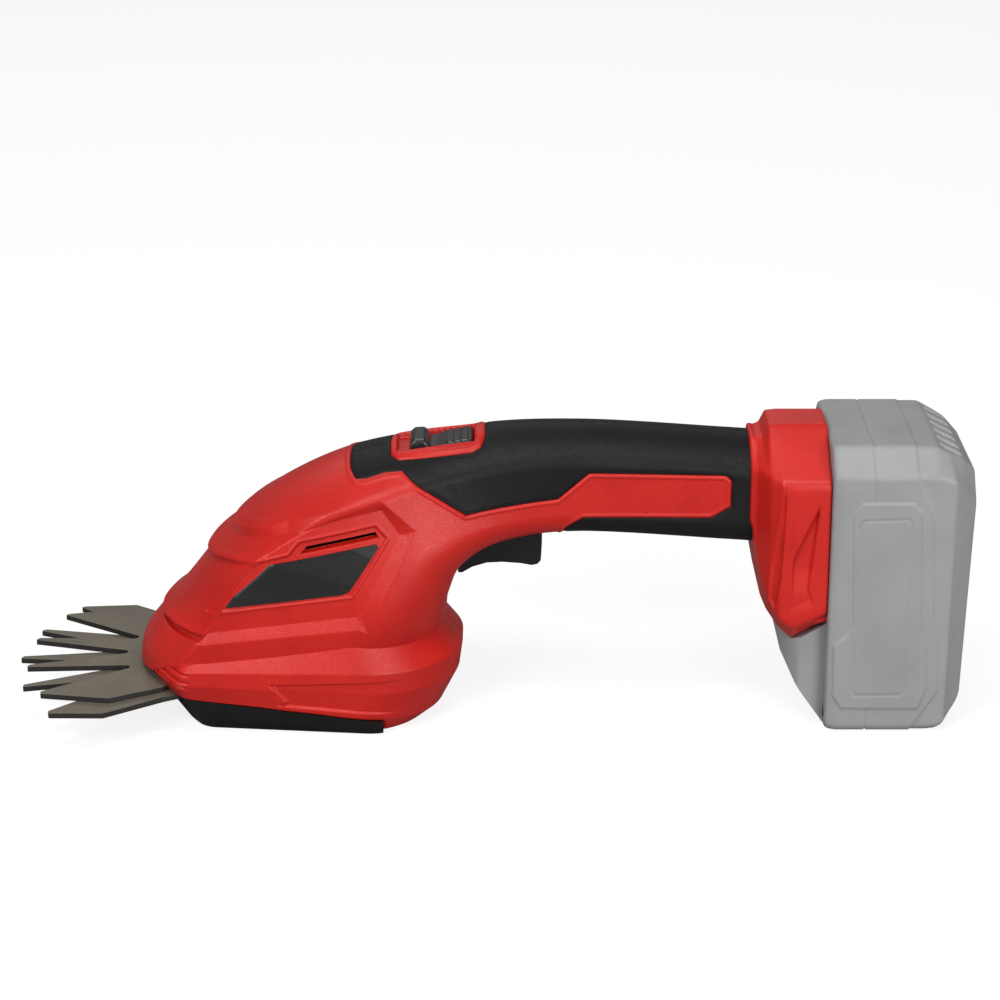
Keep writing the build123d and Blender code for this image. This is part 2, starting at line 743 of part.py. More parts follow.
def pivot_parts():
    """Bush, bolt, washers and spacers that clamp the blades under the gear case."""
    p = blade_pivot_x
    stack_top = case_floor_z
    bush = cylinder_z(p, 0, blade_z, pivot_bush_radius, stack_top - blade_z)
    bush -= cylinder_z(p, 0, blade_z - 1, pivot_bolt_radius + 0.1, 10)
    washer = cylinder_z(p, 0, blade_z - 1.0, pivot_washer_radius, 1.0)
    washer -= cylinder_z(p, 0, blade_z - 2, pivot_bolt_radius + 0.2, 5)
    head_z = blade_z - 1.0 - pivot_head_height
    head = Pos(p, 0, head_z) * extrude(RegularPolygon(hex_radius, 6), pivot_head_height)
    bolt = head + cylinder_z(p, 0, head_z, pivot_bolt_radius, stack_top + case_wall - head_z)
    spring = cylinder_z(p, 0, blade_top_z + 0.1, pivot_washer_radius, spring_washer_height - 0.2)
    spring -= cylinder_z(p, 0, upper_blade_z, pivot_bush_radius + 0.1, 6)
    return bush, washer, bolt, spring


def blade_fixings():
    """Spacers that hold the fixed blade off the gear case, and the screws through them."""
    spacers, screws = [], []
    x, low = blade_pivot_x + spacer_x, blade_z + blade_thickness
    for y in (-spacer_y, spacer_y):
        bore = cylinder_z(x, y, low - 1, spacer_bore, 10)
        spacers.append(cylinder_z(x, y, low, 4.0, case_floor_z - low) - bore)
        head = cylinder_z(x, y, blade_z - 2.0, 3.8, 2.0)
        head -= block(x - 3, x + 3, y - 0.5, y + 0.5, blade_z - 3, blade_z - 1)
        screws.append(head + cylinder_z(x, y, blade_z - 0.9, 1.9, case_floor_z + 2.2 - blade_z + 0.9))
    return spacers, screws


# ================================================================= gear train
def gear(module, teeth, thickness):
    """Spur gear with straight-flanked teeth, one of them pointing along +X."""
    pitch_r = module * teeth / 2
    root_r, tip_r = pitch_r - 1.2 * module, pitch_r + 0.85 * module
    step = 2 * math.pi / teeth
    points = []
    for i in range(teeth):
        for radius, share in ((root_r, -0.30), (tip_r, -0.11), (tip_r, 0.11), (root_r, 0.30)):
            angle = (i + share) * step
            points.append((radius * math.cos(angle), radius * math.sin(angle)))
    return extrude(make_face(Polyline(*points, close=True)), thickness)


def idler_place():
    """Axis of the idler, where both centre distances meet."""
    d1 = first_module * (pinion_teeth + wheel_teeth) / 2 + mesh_gap
    d2 = second_module * (idler_teeth + drive_teeth) / 2 + mesh_gap
    along = (d2 ** 2 - d1 ** 2 + motor_offset ** 2) / (2 * motor_offset)
    return drive_x + along, math.sqrt(d2 ** 2 - along ** 2)


def toward(start, end):
    """Direction from one axis to another, degrees from +X."""
    return math.degrees(math.atan2(end[1] - start[1], end[0] - start[0]))


def motor_pinion():
    """Brass pinion pressed on the motor shaft, a tooth pointing at the idler."""
    angle = toward((motor_x, 0), idler_place())
    body = gear(first_module, pinion_teeth, gear_thickness + 0.6)
    body -= cylinder_z(0, 0, -1, shaft_radius, 9)
    return Pos(motor_x, 0, wheel_z) * Rot(0, 0, angle) * body


def idler_gear():
    """Wheel driven by the pinion, with the small gear that drives the crank under it."""
    x, y = idler_place()
    half_tooth = 180.0 / wheel_teeth
    wheel_turn = toward((x, y), (motor_x, 0)) + half_tooth
    small_turn = toward((x, y), (drive_x, 0))
    small = Rot(0, 0, small_turn) * gear(second_module, idler_teeth, wheel_z - gear_z)
    step = wheel_z - gear_z
    wheel = Pos(0, 0, step) * Rot(0, 0, wheel_turn) * gear(first_module, wheel_teeth, gear_thickness)
    hollow = cylinder_z(0, 0, step + 3.0, first_module * wheel_teeth / 2 - 2.6, 5)
    body = small + (wheel - hollow)
    body += cylinder_z(0, 0, 0, idler_pin_radius + 1.6, case_top_z - gear_z - 0.3)
    return Pos(x, y, gear_z) * (body - cylinder_z(0, 0, -1, idler_pin_radius + running_gap, 20))


def idler_pin():
    """Pin that the idler turns on, held by tray and lid."""
    x, y = idler_place()
    low = case_floor_z + 0.6
    return cylinder_z(x, y, low, idler_pin_radius, case_top_z + case_wall - low)


def drive_gear():
    """Gear with a journal that runs in the case floor and a crank pin under the journal."""
    half_tooth = 180.0 / drive_teeth
    turn = toward((drive_x, 0), idler_place()) + half_tooth
    wheel = Rot(0, 0, turn) * gear(second_module, drive_teeth, gear_thickness)
    journal = cylinder_z(0, 0, case_floor_z - gear_z, journal_radius, gear_z - case_floor_z)
    shaft = cylinder_z(0, 0, 0, shaft_radius + 0.9, case_top_z + 1.8 - gear_z)
    crank_height = gear_z - upper_blade_z
    crank = cylinder_z(-eccentric_throw, 0, -crank_height, eccentric_pin_radius, crank_height)
    return Pos(drive_x, 0, gear_z) * (wheel + journal + shaft + crank)


def crank_roller():
    """Hardened roller on the crank pin, running between the fork's arms."""
    x = drive_x - eccentric_throw
    ring = cylinder_z(x, 0, upper_blade_z + 0.05, roller_radius, blade_thickness + 0.8)
    return ring - cylinder_z(x, 0, upper_blade_z - 1, eccentric_pin_radius + 0.02, 6)


def drive_bearing():
    """Bronze ring in the case floor round the journal."""
    ring = cylinder_z(drive_x, 0, case_floor_z, bearing_radius, case_wall)
    return ring - cylinder_z(drive_x, 0, case_floor_z - 1, journal_radius + running_gap, 6)


def gear_case_lower():
    """Cast tray: floor over the blades, and a wall round the gears."""
    idler_x, idler_y = idler_place()
    tray = Pos(0, 0, case_floor_z) * extrude(case_outline(0), case_top_z - case_floor_z)
    drive_room = second_module * drive_teeth / 2 + gear_room
    wheel_room = first_module * wheel_teeth / 2 + gear_room
    low = gear_z - gear_lift
    room_height = case_top_z - low + 1.0
    tray -= cylinder_z(drive_x, 0, low, drive_room, room_height)
    tray -= cylinder_z(idler_x, idler_y, low, wheel_room, room_height)
    tray -= cylinder_z(motor_x, 0, wheel_z - 0.6, 5.2, room_height)
    front = block(-300, blade_pivot_x + 6.5, -60, 60, case_floor_z + 5.6, 60)
    tray -= front
    tray -= cylinder_z(drive_x, 0, case_floor_z - 1, bearing_radius, 6)
    tray -= cylinder_z(idler_x, idler_y, case_floor_z + 0.6, idler_pin_radius, 6)
    tray -= cylinder_z(blade_pivot_x, 0, case_floor_z - 1, pivot_bolt_radius, 20)
    for y in (-spacer_y, spacer_y):
        tray -= cylinder_z(blade_pivot_x + spacer_x, y, case_floor_z - 1, 1.9, 3.4)
    for x, y in sole_screw_places():
        tray -= cylinder_z(x, y, case_floor_z - 1, screw_radius - 0.1, 3.2)
    return tray


def gear_case_upper():
    """Lid of the tray, which the motor stands on."""
    idler_x, idler_y = idler_place()
    lid = Pos(0, 0, case_top_z) * extrude(case_outline(0), case_wall)
    lid -= block(-300, blade_pivot_x + 6.5, -60, 60, case_top_z - 1, case_top_z + 10)
    lid -= cylinder_z(motor_x, 0, case_top_z - 1, 5.0, 10)
    lid -= cylinder_z(drive_x, 0, case_top_z - 1, shaft_radius + 0.9 + running_gap, 3.1)
    return lid - cylinder_z(idler_x, idler_y, case_top_z - 1, idler_pin_radius, case_wall + 1)


def pivot_nut():
    """Lock nut of the pivot bolt on the case floor."""
    z = case_floor_z + 5.6
    nut = Pos(blade_pivot_x, 0, z) * extrude(RegularPolygon(hex_radius, 6), 4.0)
    return nut - cylinder_z(blade_pivot_x, 0, z - 1, pivot_bolt_radius, 8)


# ================================================================= motor
def motor_can():
    """Drawn steel cup with two cooling windows and the front bush's nose."""
    z = motor_seat_z
    can = cylinder_z(motor_x, 0, z, motor_radius, motor_length)
    can -= cylinder_z(motor_x, 0, z + motor_wall, motor_radius - motor_wall, motor_length)
    can += cylinder_z(motor_x, 0, z - 1.6, 4.9, 1.7)
    can -= cylinder_z(motor_x, 0, z - 3, shaft_radius + running_gap, 8)
    windows = block(motor_x - 6, motor_x + 6, -30, 30, z + 4, z + 9)
    return can - (windows - block(motor_x - 6, motor_x + 6, -12, 12, z + 4, z + 9))


def motor_magnets():
    """Two arc magnets bonded inside the can."""
    z, outer = motor_seat_z + 9.5, motor_radius - motor_wall
    ring = cylinder_z(motor_x, 0, z, outer, magnet_height) - cylinder_z(
        motor_x, 0, z - 1, outer - magnet_thickness, magnet_height + 2)
    ring -= block(motor_x - 4, motor_x + 4, -30, 30, z - 1, z + magnet_height + 1)
    return ring.solids()


def motor_rotor():
    """Shaft, five-pole lamination stack and commutator as one turning piece."""
    z, core = motor_seat_z + 10.5, motor_radius - motor_wall - magnet_thickness - air_gap
    rotor = cylinder_z(motor_x, 0, wheel_z - 0.2, shaft_radius, motor_top - 1.0 - wheel_z)
    stack = cylinder_z(motor_x, 0, z, core, magnet_height - 2)
    for i in range(rotor_poles):
        groove = Rot(0, 0, 360 / rotor_poles * i) * block(core - 5.5, core + 1, -1.1, 1.1, -1, magnet_height)
        stack -= Pos(motor_x, 0, z) * groove
    return rotor + stack + cylinder_z(motor_x, 0, z + magnet_height - 2.1, 4.2, 6.0)


def motor_cap():
    """Moulded end cap with its bush and two terminal tabs."""
    z = motor_seat_z + motor_length
    cap = cylinder_z(motor_x, 0, z, motor_radius - 0.6, motor_cap_height)
    cap += cylinder_z(motor_x, 0, z - 1.6, motor_radius - motor_wall - 0.05, 1.7)
    cap -= cylinder_z(motor_x, 0, z - 3, 6.0, 3 + motor_cap_height - 2.0)
    cap -= cylinder_z(motor_x, 0, z - 3, shaft_radius + running_gap, 20)
    return cap


def motor_tabs():
    """Two terminal tabs on the end cap."""
    z = motor_seat_z + motor_length + motor_cap_height
    return [block(motor_x - 2.4, motor_x + 2.4, y - 0.4, y + 0.4, z, z + 3.0) for y in (-10.0, 10.0)]


# ================================================================= trigger, switch and lock
def trigger():
    """Finger trigger: concave underside, pivot boss in front and a skirt that hides the slot."""
    r, (px, pz) = rear_x, trigger_pivot
    outline = [
        (r - 1.9, 51.8), (r - 0.2, 51.8), (r + 3.4, 54.0), (r + 8.8, 55.7), (r + 14.5, 56.0),
        (r + 21.4, 55.5), (r + 25.6, 54.7), (r + 27.8, 55.2), (r + 29.0, 56.6), (r + 29.4, 64.0),
        (r + 29.4, 74.5), (r + 27.2, 74.5), (r + 27.2, spring_floor), (plunger_x + 3, spring_floor),
        (plunger_x + 3, trigger_pad), (plunger_x - 3, trigger_pad), (px + 5, 69.5),
        (px - 3.0, 68.5), (r - 1.6, 60.0),
    ]
    body = side_prism(outline, -trigger_width / 2, trigger_width / 2)
    body += cylinder_y(px, pz, trigger_pin_radius + pin_boss_wall, -trigger_width / 2, trigger_width / 2)
    return body - cylinder_y(px, pz, trigger_pin_radius + running_gap, -30, 30)


def trigger_pin():
    """Steel pin of the trigger, its ends in the two bosses."""
    x, z = trigger_pivot
    return cylinder_y(x, z, trigger_pin_radius, -12.5, 12.5)


def trigger_spring():
    """Return spring of flat wire between the trigger and the switch."""
    low, high = spring_floor + 0.1, switch_z - 0.1
    pitch = (high - low - spring_wire) / spring_turns
    helix = Helix(pitch, high - low - spring_wire, spring_radius - spring_wire / 2)
    start = Plane(origin=helix @ 0, x_dir=(1, 0, 0), z_dir=helix % 0)
    coil = sweep(start * Rectangle(spring_wire, spring_wire), path=helix, is_frenet=True)
    return Pos(spring_x, 0, low + spring_wire / 2) * coil


def switch_body():
    """Snap switch with a bore for its plunger and two tabs."""
    x = switch_x
    body = block(x, x + switch_length, -7.5, 7.5, switch_z, switch_z + switch_height)
    body -= cylinder_z(plunger_x, 0, switch_z - 1, plunger_radius + running_gap, 8)
    top = switch_z + switch_height
    for tab_x in (x + 16, x + 22):
        body += block(tab_x, tab_x + 0.8, -2.4, 2.4, top - 0.1, top + 3)
    return body


def switch_plunger():
    """Sprung plunger with a tapered tip over the trigger's pad."""
    low, taper = trigger_pad + plunger_gap, 0.8
    stem = cylinder_z(plunger_x, 0, low + taper, plunger_radius, switch_z + 3.0 - low - taper)
    tip = Pos(plunger_x, 0, low + taper / 2) * Cone(plunger_radius - 0.9, plunger_radius, taper)
    return stem + tip


def lock_slider():
    """Thumb slide: raised front hump, hollow saddle and four slanted grip ribs."""
    x, w = lock_x, lock_width / 2
    outline = [
        (x, lock_floor + 0.2), (x, 102.8), (x + 1.2, 104.2), (x + 6.6, 104.7), (x + 8.4, 103.0),
        (x + 10.6, 102.2), (x + lock_length - 2.0, 104.9), (x + lock_length, 104.3),
        (x + lock_length, lock_floor + 0.2),
    ]
    body = side_prism(outline, -w, w)
    for i in range(4):
        base = x + 11.6 + 2.9 * i
        top = 103.3 + 0.55 * i
        rib = [(base, top - 1), (base + 0.9, top + 1), (base + 1.9, top + 1), (base + 1.2, top - 1)]
        body += side_prism(rib, -w + 1.2, w - 1.2)
    stem_w = lock_stem_width / 2
    body += block(x + 2.5, x + lock_length - 7.6, -stem_w, stem_w, 94.6, lock_floor + 1)
    return body


def lock_leaf():
    """Leaf spring clipped across the tray's underside that gives the slider its click."""
    x_high, z_high = lock_x + lock_length, lock_floor - shell_wall
    return block(x_high - 6.8, x_high + 0.5, -4, 4, z_high - 0.6, z_high)


# ================================================================= battery
def battery_outline(inset):
    """Side view of the pack without its front block."""
    f, b, t = face_x, back_x, battery_top
    i = inset
    return [
        (f + i, t - i), (b - 15.6, t - i), (b - 6.6 - i, t - 5.2 - i), (b - i, 97.5 - i),
        (b - 1.2 - i, 60.0), (b - 2.4 - i, 13.0), (b - 4.4 - i, 5.6 + i), (b - 13.0, i), (f + i, i),
    ]


def battery_block(inset):
    """Pack body: side outline crossed with a chamfered plan and a chamfered rear view."""
    f, b, w, t = face_x, back_x, battery_width / 2 - inset, battery_top
    side = side_prism(battery_outline(inset), -w, w)
    plan = [(f - 1, w - 1.5), (f + 3, w), (b - 9.0, w), (b + 1, w - 8.0)]
    plan += [(x, -y) for x, y in reversed(plan)]
    rear = [(w - 9.0, t + 1), (w, t - 8.5), (w, 1.5), (w - 2.5, -1)]
    rear += [(-y, z) for y, z in reversed(rear)]
    rear_face = Plane.YZ * make_face(Polyline(*rear, close=True))
    return side & plan_prism(plan, -2, t + 2) & (Pos(f - 1, 0, 0) * extrude(rear_face, b - f + 2))


def battery_front_block():
    """Nose of the pack that closes the underside of the foot and carries the latch button."""
    f = face_x
    side = [(f + 2, 0.0), (f, 0.6), (f - 10.4, 15.5), (f - 15.8, 26.5), (f - 13.4, foot_bottom - 0.4),
            (f - 12.2, foot_bottom - 0.4), (f + 2, 41.0)]
    bar = side_prism(side, -29, 29)
    plan = [(f - 17, 20.0), (f - 9.0, 29.0), (f + 3, 29.0)]
    plan += [(x, -y) for x, y in reversed(plan)]
    nose = bar & plan_prism(plan, 0, 50)
    return nose - foot_clearance()


def foot_clearance():
    """Room for the foot's lower facets, one fit gap clear of them."""
    f, w = face_x, foot_half_width + 1
    g = fit_gap
    low = foot_bottom - g
    outline = [(f + 0.01, low + foot_bevel), (f - 12.6, low), (f - 20, 40.0), (f - 20, 60), (f + 0.01, 60)]
    return side_prism(outline, -w, w)


def battery_tongue():
    """T-shaped tongue with slots for the terminals of the foot."""
    f = face_x
    tongue = block(f - tongue_depth, f - rail_thickness - fit_gap, -tongue_width / 2, tongue_width / 2,
                   tongue_bottom, tongue_top)
    tongue += block(f - rail_thickness - 1, f + 1, -tongue_neck_width / 2, tongue_neck_width / 2,
                    tongue_bottom, tongue_top)
    for y in terminal_places():
        tongue -= block(terminal_x - terminal_width / 2 - 0.6, terminal_x + terminal_width / 2 + 0.6,
                        y - 1.9, y + 1.9, tongue_top - terminal_length - 3, tongue_top + 1)
    return tongue


def terminal_places():
    """Y of each terminal."""
    return [(i - (terminal_count - 1) / 2) * terminal_pitch for i in range(terminal_count)]


def battery_front_shell():
    """Front shell of the pack with tongue and nose."""
    f = face_x
    shell = battery_block(0) & block(f - 1, f + battery_seam, -60, 60, -1, 200)
    shell -= battery_block(battery_wall)
    shell += battery_front_block()
    shell += battery_tongue()
    return shell - latch_pocket()


def battery_rear_shell():
    """Rear shell of the pack: side panels let in, seam step and vents on the top bevel."""
    f, b = face_x, back_x
    shell = battery_block(0) & block(f + battery_seam, b + 1, -60, 60, -1, 200)
    shell -= battery_block(battery_wall)
    panel = [(f + 22.0, 17.0), (f + 19.0, 22.0), (f + 19.0, 84.0), (f + 23.0, 91.0), (b - 11.0, 91.0),
             (b - 7.5, 86.0), (b - 7.5, 22.0), (b - 11.0, 17.0)]
    w = battery_width / 2
    shell -= side_prism(panel, w - 0.8, w + 1) + side_prism(panel, -w - 1, -w + 0.8)
    for i in range(6):
        y = (i - 2.5) * 8.6
        shell -= block(b - 14.0, b - 4.0, y - 1.6, y + 1.6, battery_top - 6.0, battery_top + 3)
    return shell


def latch_pocket():
    """Hole in the nose for the latch button."""
    f, w = face_x, latch_width / 2 + fit_gap
    return block(f - 20, f - 1.4, -w, w, 9.0, 21.6)


def latch_button():
    """Push button that frees the pack, its face following the nose."""
    f, w = face_x, latch_width / 2
    side = [(f - 6.4, 9.3), (f - 10.8, 15.6), (f - 13.6, 21.3), (f - 5.6, 21.3), (f - 4.2, 9.3)]
    button = side_prism(side, -w, w)
    for i in range(3):
        z = 12.0 + 3.0 * i
        button -= block(f - 20, f - 7.8 - 1.7 * i, -w + 4, w - 4, z, z + 1.0)
    return button


def cells():
    """Ten cylindrical cells lying across the pack."""
    half = cell_length / 2
    columns = [cell_x + i * cell_pitch for i in range(cell_columns)]
    rows = [cell_z + j * cell_pitch for j in range(cell_rows)]
    return [cylinder_y(x, z, cell_radius, -half, half) for x in columns for z in rows]


def cell_strips():
    """Nickel strips that join the cells' ends."""
    strips = []
    for side in (-1, 1):
        y = side * (cell_length / 2 + 0.2)
        for j in range(cell_rows):
            z = cell_z + j * cell_pitch
            strips.append(block(cell_x - 4, cell_x + cell_pitch + 4, y - 0.15, y + 0.15, z - 3, z + 3))
    return strips


def cell_holder(side):
    """Flat frame over the cells' ends on one side."""
    y = side * (cell_length / 2 + 0.5)
    low, high = min(y, y + side * 1.8), max(y, y + side * 1.8)
    top = cell_z + (cell_rows - 1) * cell_pitch
    frame = block(cell_x - 8, cell_x + cell_pitch + 8, low, high, cell_z - 8, top + 8)
    for j in range(cell_rows):
        z = cell_z + j * cell_pitch
        frame -= block(cell_x - 3, cell_x + cell_pitch + 3, -60, 60, z - 2, z + 2)
    return frame


def battery_board():
    """Protection board over the cells."""
    z = cell_z + (cell_rows - 1) * cell_pitch + cell_radius + seat_gap
    board = block(cell_x - 6, cell_x + cell_pitch + 6, -26, 26, z, z + 1.6)
    return board + block(cell_x, cell_x + 8, -6, 6, z + 1.5, z + 3.4)


def battery_clips():
    """Forked contacts of the pack, one round each terminal of the tool."""
    clips = []
    top = tongue_top - 0.4
    for y in terminal_places():
        x_low, x_high = terminal_x - 2.0, terminal_x + 2.0
        clip = block(x_low, x_high, y - 1.7, y + 1.7, top - terminal_length - 2.0, top)
        clip -= block(x_low - 1, x_high + 1, y - 0.9, y + 0.9, top - terminal_length - 1.0, top + 1)
        clips.append(clip)
    return clips


def terminal_block():
    """Moulded carrier of the tool's terminals."""
    w = terminal_block_half
    return block(foot_x + 7.5, face_x - rail_thickness, -w, w, terminal_z + 0.05, terminal_z + 4.0)


def tool_terminals():
    """Flat blades that reach down into the pack's tongue."""
    blades = []
    for y in terminal_places():
        blades.append(block(terminal_x - terminal_width / 2, terminal_x + terminal_width / 2,
                            y - terminal_thickness / 2, y + terminal_thickness / 2,
                            terminal_z - terminal_length, terminal_z + 0.05))
    return blades


# ================================================================= parts
def solids(pieces):
    """One compound from a piece or from a list of pieces."""
    if isinstance(pieces, (list, tuple)):
        found = []
        for piece in pieces:
            found += piece.solids()
        return Compound(children=found)
    return pieces


def build_parts():
    """Every node of the tool by name."""
    skin, floor = body_loft(skin_depth), body_loft(recess_depth)
    half = housing_half(skin, floor)
    grip = grip_half(skin)
    plate = (floor - body_loft(recess_depth + label_thickness)) & side_prism(label_outline(), -60, -20)
    bush, washer, bolt, spring = pivot_parts()
    spacers, fixings = blade_fixings()
    return {
        "housing_left": housing_left(half, plate),
        "housing_right": housing_right(half),
        "grip_left": grip,
        "grip_right": mirror(grip, about=Plane.XZ),
        "rating_plate": plate,
        "housing_screws": housing_screws(),
        "sole_cover": sole_cover(),
        "sole_screws": sole_screws(),
        "lower_blade": lower_blade(),
        "upper_blade": upper_blade(),
        "pivot_bush": bush,
        "pivot_washer": washer,
        "pivot_bolt": bolt,
        "pivot_nut": pivot_nut(),
        "spring_washer": spring,
        "blade_spacers": spacers,
        "blade_screws": fixings,
        "gear_case_lower": gear_case_lower(),
        "gear_case_upper": gear_case_upper(),
        "drive_bearing": drive_bearing(),
        "drive_gear": drive_gear(),
        "crank_roller": crank_roller(),
        "idler_gear": idler_gear(),
        "idler_pin": idler_pin(),
        "motor_pinion": motor_pinion(),
        "motor_can": motor_can(),
        "motor_magnets": motor_magnets(),
        "motor_rotor": motor_rotor(),
        "motor_cap": motor_cap(),
        "motor_tabs": motor_tabs(),
        "trigger": trigger(),
        "trigger_pin": trigger_pin(),
        "trigger_spring": trigger_spring(),
        "switch_body": switch_body(),
        "switch_plunger": switch_plunger(),
        "lock_slider": lock_slider(),
        "lock_leaf": lock_leaf(),
        "terminal_block": terminal_block(),
        "tool_terminals": tool_terminals(),
        "battery_front_shell": battery_front_shell(),
        "battery_rear_shell": battery_rear_shell(),
        "battery_latch_button": latch_button(),
        "battery_cells": cells(),
        "cell_strips": cell_strips(),
        "cell_holder_left": cell_holder(-1),
        "cell_holder_right": cell_holder(1),
        "battery_board": battery_board(),
        "battery_clips": battery_clips(),
    }


def main():
    os.makedirs("parts", exist_ok=True)
    for name, pieces in build_parts().items():
        export_step(solids(pieces), f"parts/{name}.step")


if __name__ == "__main__":
    main()
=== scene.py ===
"""Looks of the cordless grass shear: moulded shells, soft grip, ground blades and slide-on pack.

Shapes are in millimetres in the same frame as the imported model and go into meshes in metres.
"""
import logging
import math
from dataclasses import dataclass
from enum import Enum
from typing import Callable, Optional, Sequence, Union

import bmesh
import bpy
import numpy as np
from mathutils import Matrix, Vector


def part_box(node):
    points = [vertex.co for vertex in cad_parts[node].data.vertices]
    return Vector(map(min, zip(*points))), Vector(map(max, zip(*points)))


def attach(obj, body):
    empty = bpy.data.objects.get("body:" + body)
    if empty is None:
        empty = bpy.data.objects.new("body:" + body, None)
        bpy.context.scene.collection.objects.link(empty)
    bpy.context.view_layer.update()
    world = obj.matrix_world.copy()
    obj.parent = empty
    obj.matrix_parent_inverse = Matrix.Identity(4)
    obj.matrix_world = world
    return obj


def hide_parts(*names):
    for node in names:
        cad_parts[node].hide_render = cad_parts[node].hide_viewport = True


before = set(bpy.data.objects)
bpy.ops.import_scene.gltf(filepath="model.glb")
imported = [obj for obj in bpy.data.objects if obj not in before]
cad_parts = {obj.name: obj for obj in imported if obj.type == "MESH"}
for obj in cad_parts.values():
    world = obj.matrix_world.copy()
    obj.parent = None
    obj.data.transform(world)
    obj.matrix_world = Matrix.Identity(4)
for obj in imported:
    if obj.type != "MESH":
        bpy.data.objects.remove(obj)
LOG = logging.getLogger("shear")
MM = 0.001
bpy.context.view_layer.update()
# How far the skirt's stern reaches past the rear end of the sole cover.
SKIRT_PAST_SOLE = 29.2
# A distance beyond any on the tool, and the least length that anything is divided by.
FAR = 1e9
TINY = 1e-9
Outline = Sequence[tuple[float, float]]
Colour = tuple[float, float, float]
Point = tuple[float, float, float]


# ================================================================= datum lines
@dataclass(frozen=True)
class Datum:
    """Lengths along the tool that every outline is written from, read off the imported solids.

    Args:
        nose: Front of the housing.
        rear: Stern of the skirt, past the rear end of the sole cover.
        foot: Front of the foot that carries the pack.
        face: Rear face of the foot.
    """

    nose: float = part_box("housing_left")[0].x / MM
    rear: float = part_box("sole_cover")[1].x / MM + SKIRT_PAST_SOLE
    foot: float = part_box("grip_left")[1].x / MM
    face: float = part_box("housing_left")[1].x / MM


D = Datum()


# ================================================================= array helpers
def ease(x: np.ndarray) -> np.ndarray:
    """Smooth step: 3 t squared minus 2 t cubed, with t held between 0 and 1."""
    t = np.clip(x, 0.0, 1.0)
    return t * t * (3.0 - 2.0 * t)


def signed_distance(x: np.ndarray, z: np.ndarray, outline: Outline) -> np.ndarray:
    """Distance from points to a closed outline, negative inside.

    The nearest of all edges gives the size and the count of edges crossed by a ray gives the sign.

    Args:
        x: First coordinates.
        z: Second coordinates.
        outline: Corners in order.

    Returns:
        One distance for each point.
    """
    best = np.full(x.shape, FAR)
    within = np.zeros(x.shape, bool)
    for (ax, az), (bx, bz) in zip(outline, list(outline[1:]) + [outline[0]]):
        ex, ez = bx - ax, bz - az
        t = np.clip(((x - ax) * ex + (z - az) * ez) / (ex * ex + ez * ez), 0.0, 1.0)
        best = np.minimum(best, np.hypot(x - ax - t * ex, z - az - t * ez))
        if az != bz:
            crosses = ((az > z) != (bz > z)) & (x < ex * (z - az) / ez + ax)
            within ^= crosses
    return np.where(within, -best, best)


def inside(distance: np.ndarray, width: float) -> np.ndarray:
    """1 where a distance is negative and 0 where it is positive, easing over an edge of the given width."""
    return ease(0.5 - distance / width)


def ridge(distance: np.ndarray, width: float) -> np.ndarray:
    """Rounded ridge: e to the power of minus the square of distance over width."""
    return np.exp(-((distance / width) ** 2))


def rectangle(start: float, end: float, half: float) -> Outline:
    """Corners of a rectangle from start to end that lies evenly over the middle plane."""
    return [(start, -half), (end, -half), (end, half), (start, half)]


def joined(*runs: tuple[float, float, int]) -> np.ndarray:
    """Places along a form: even runs put end to end, with each joint counted once.

    Args:
        runs: First place, last place and number of places of each run.

    Returns:
        All places in order.
    """
    parts = [np.linspace(*run) for run in runs]
    return np.concatenate([part[:-1] for part in parts[:-1]] + parts[-1:])


def height_on(line: Outline, x: np.ndarray) -> np.ndarray:
    """Height of a line at x, carried straight on past both of its ends.

    Args:
        line: Points of the line from front to rear.
        x: Places along the tool.

    Returns:
        One height for each place.
    """
    xs, zs = np.array(line).T
    low = (zs[1] - zs[0]) / (xs[1] - xs[0])
    high = (zs[-1] - zs[-2]) / (xs[-1] - xs[-2])
    height = np.where(x < xs[0], zs[0] + low * (x - xs[0]), np.interp(x, xs, zs))
    return np.where(x > xs[-1], zs[-1] + high * (x - xs[-1]), height)


def outward_normals(points: np.ndarray) -> np.ndarray:
    """Unit normals of a grid that point away from the middles of its rows.

    Each is the cross product of the grid's two tangents, turned round for the whole grid where most point in.

    Args:
        points: Rows by columns by three.

    Returns:
        One normal for each point.
    """
    normal = np.cross(np.gradient(points, axis=0), np.gradient(points, axis=1))
    normal = normal / np.maximum(np.linalg.norm(normal, axis=2, keepdims=True), TINY)
    centre = points.mean(axis=1, keepdims=True)
    return np.sign((normal * (points - centre)).sum(axis=2).mean()) * normal


def to_middle(points: np.ndarray) -> np.ndarray:
    """Unit vectors from each point of a grid to the middle of its row."""
    toward = points.mean(axis=1, keepdims=True) - points
    return toward / np.maximum(np.linalg.norm(toward, axis=2, keepdims=True), TINY)


# ================================================================= meshes
# Name of the value per point that a masked finish reads.
GRAIN_LAYER = "grain"
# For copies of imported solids: distance in metres under which vertices are one, and angles in degrees under
# which faces are one flat and over which an edge stays sharp.
WELD = 2e-6
FLAT_ANGLE = 0.6
SHARP_ANGLE = 35.0


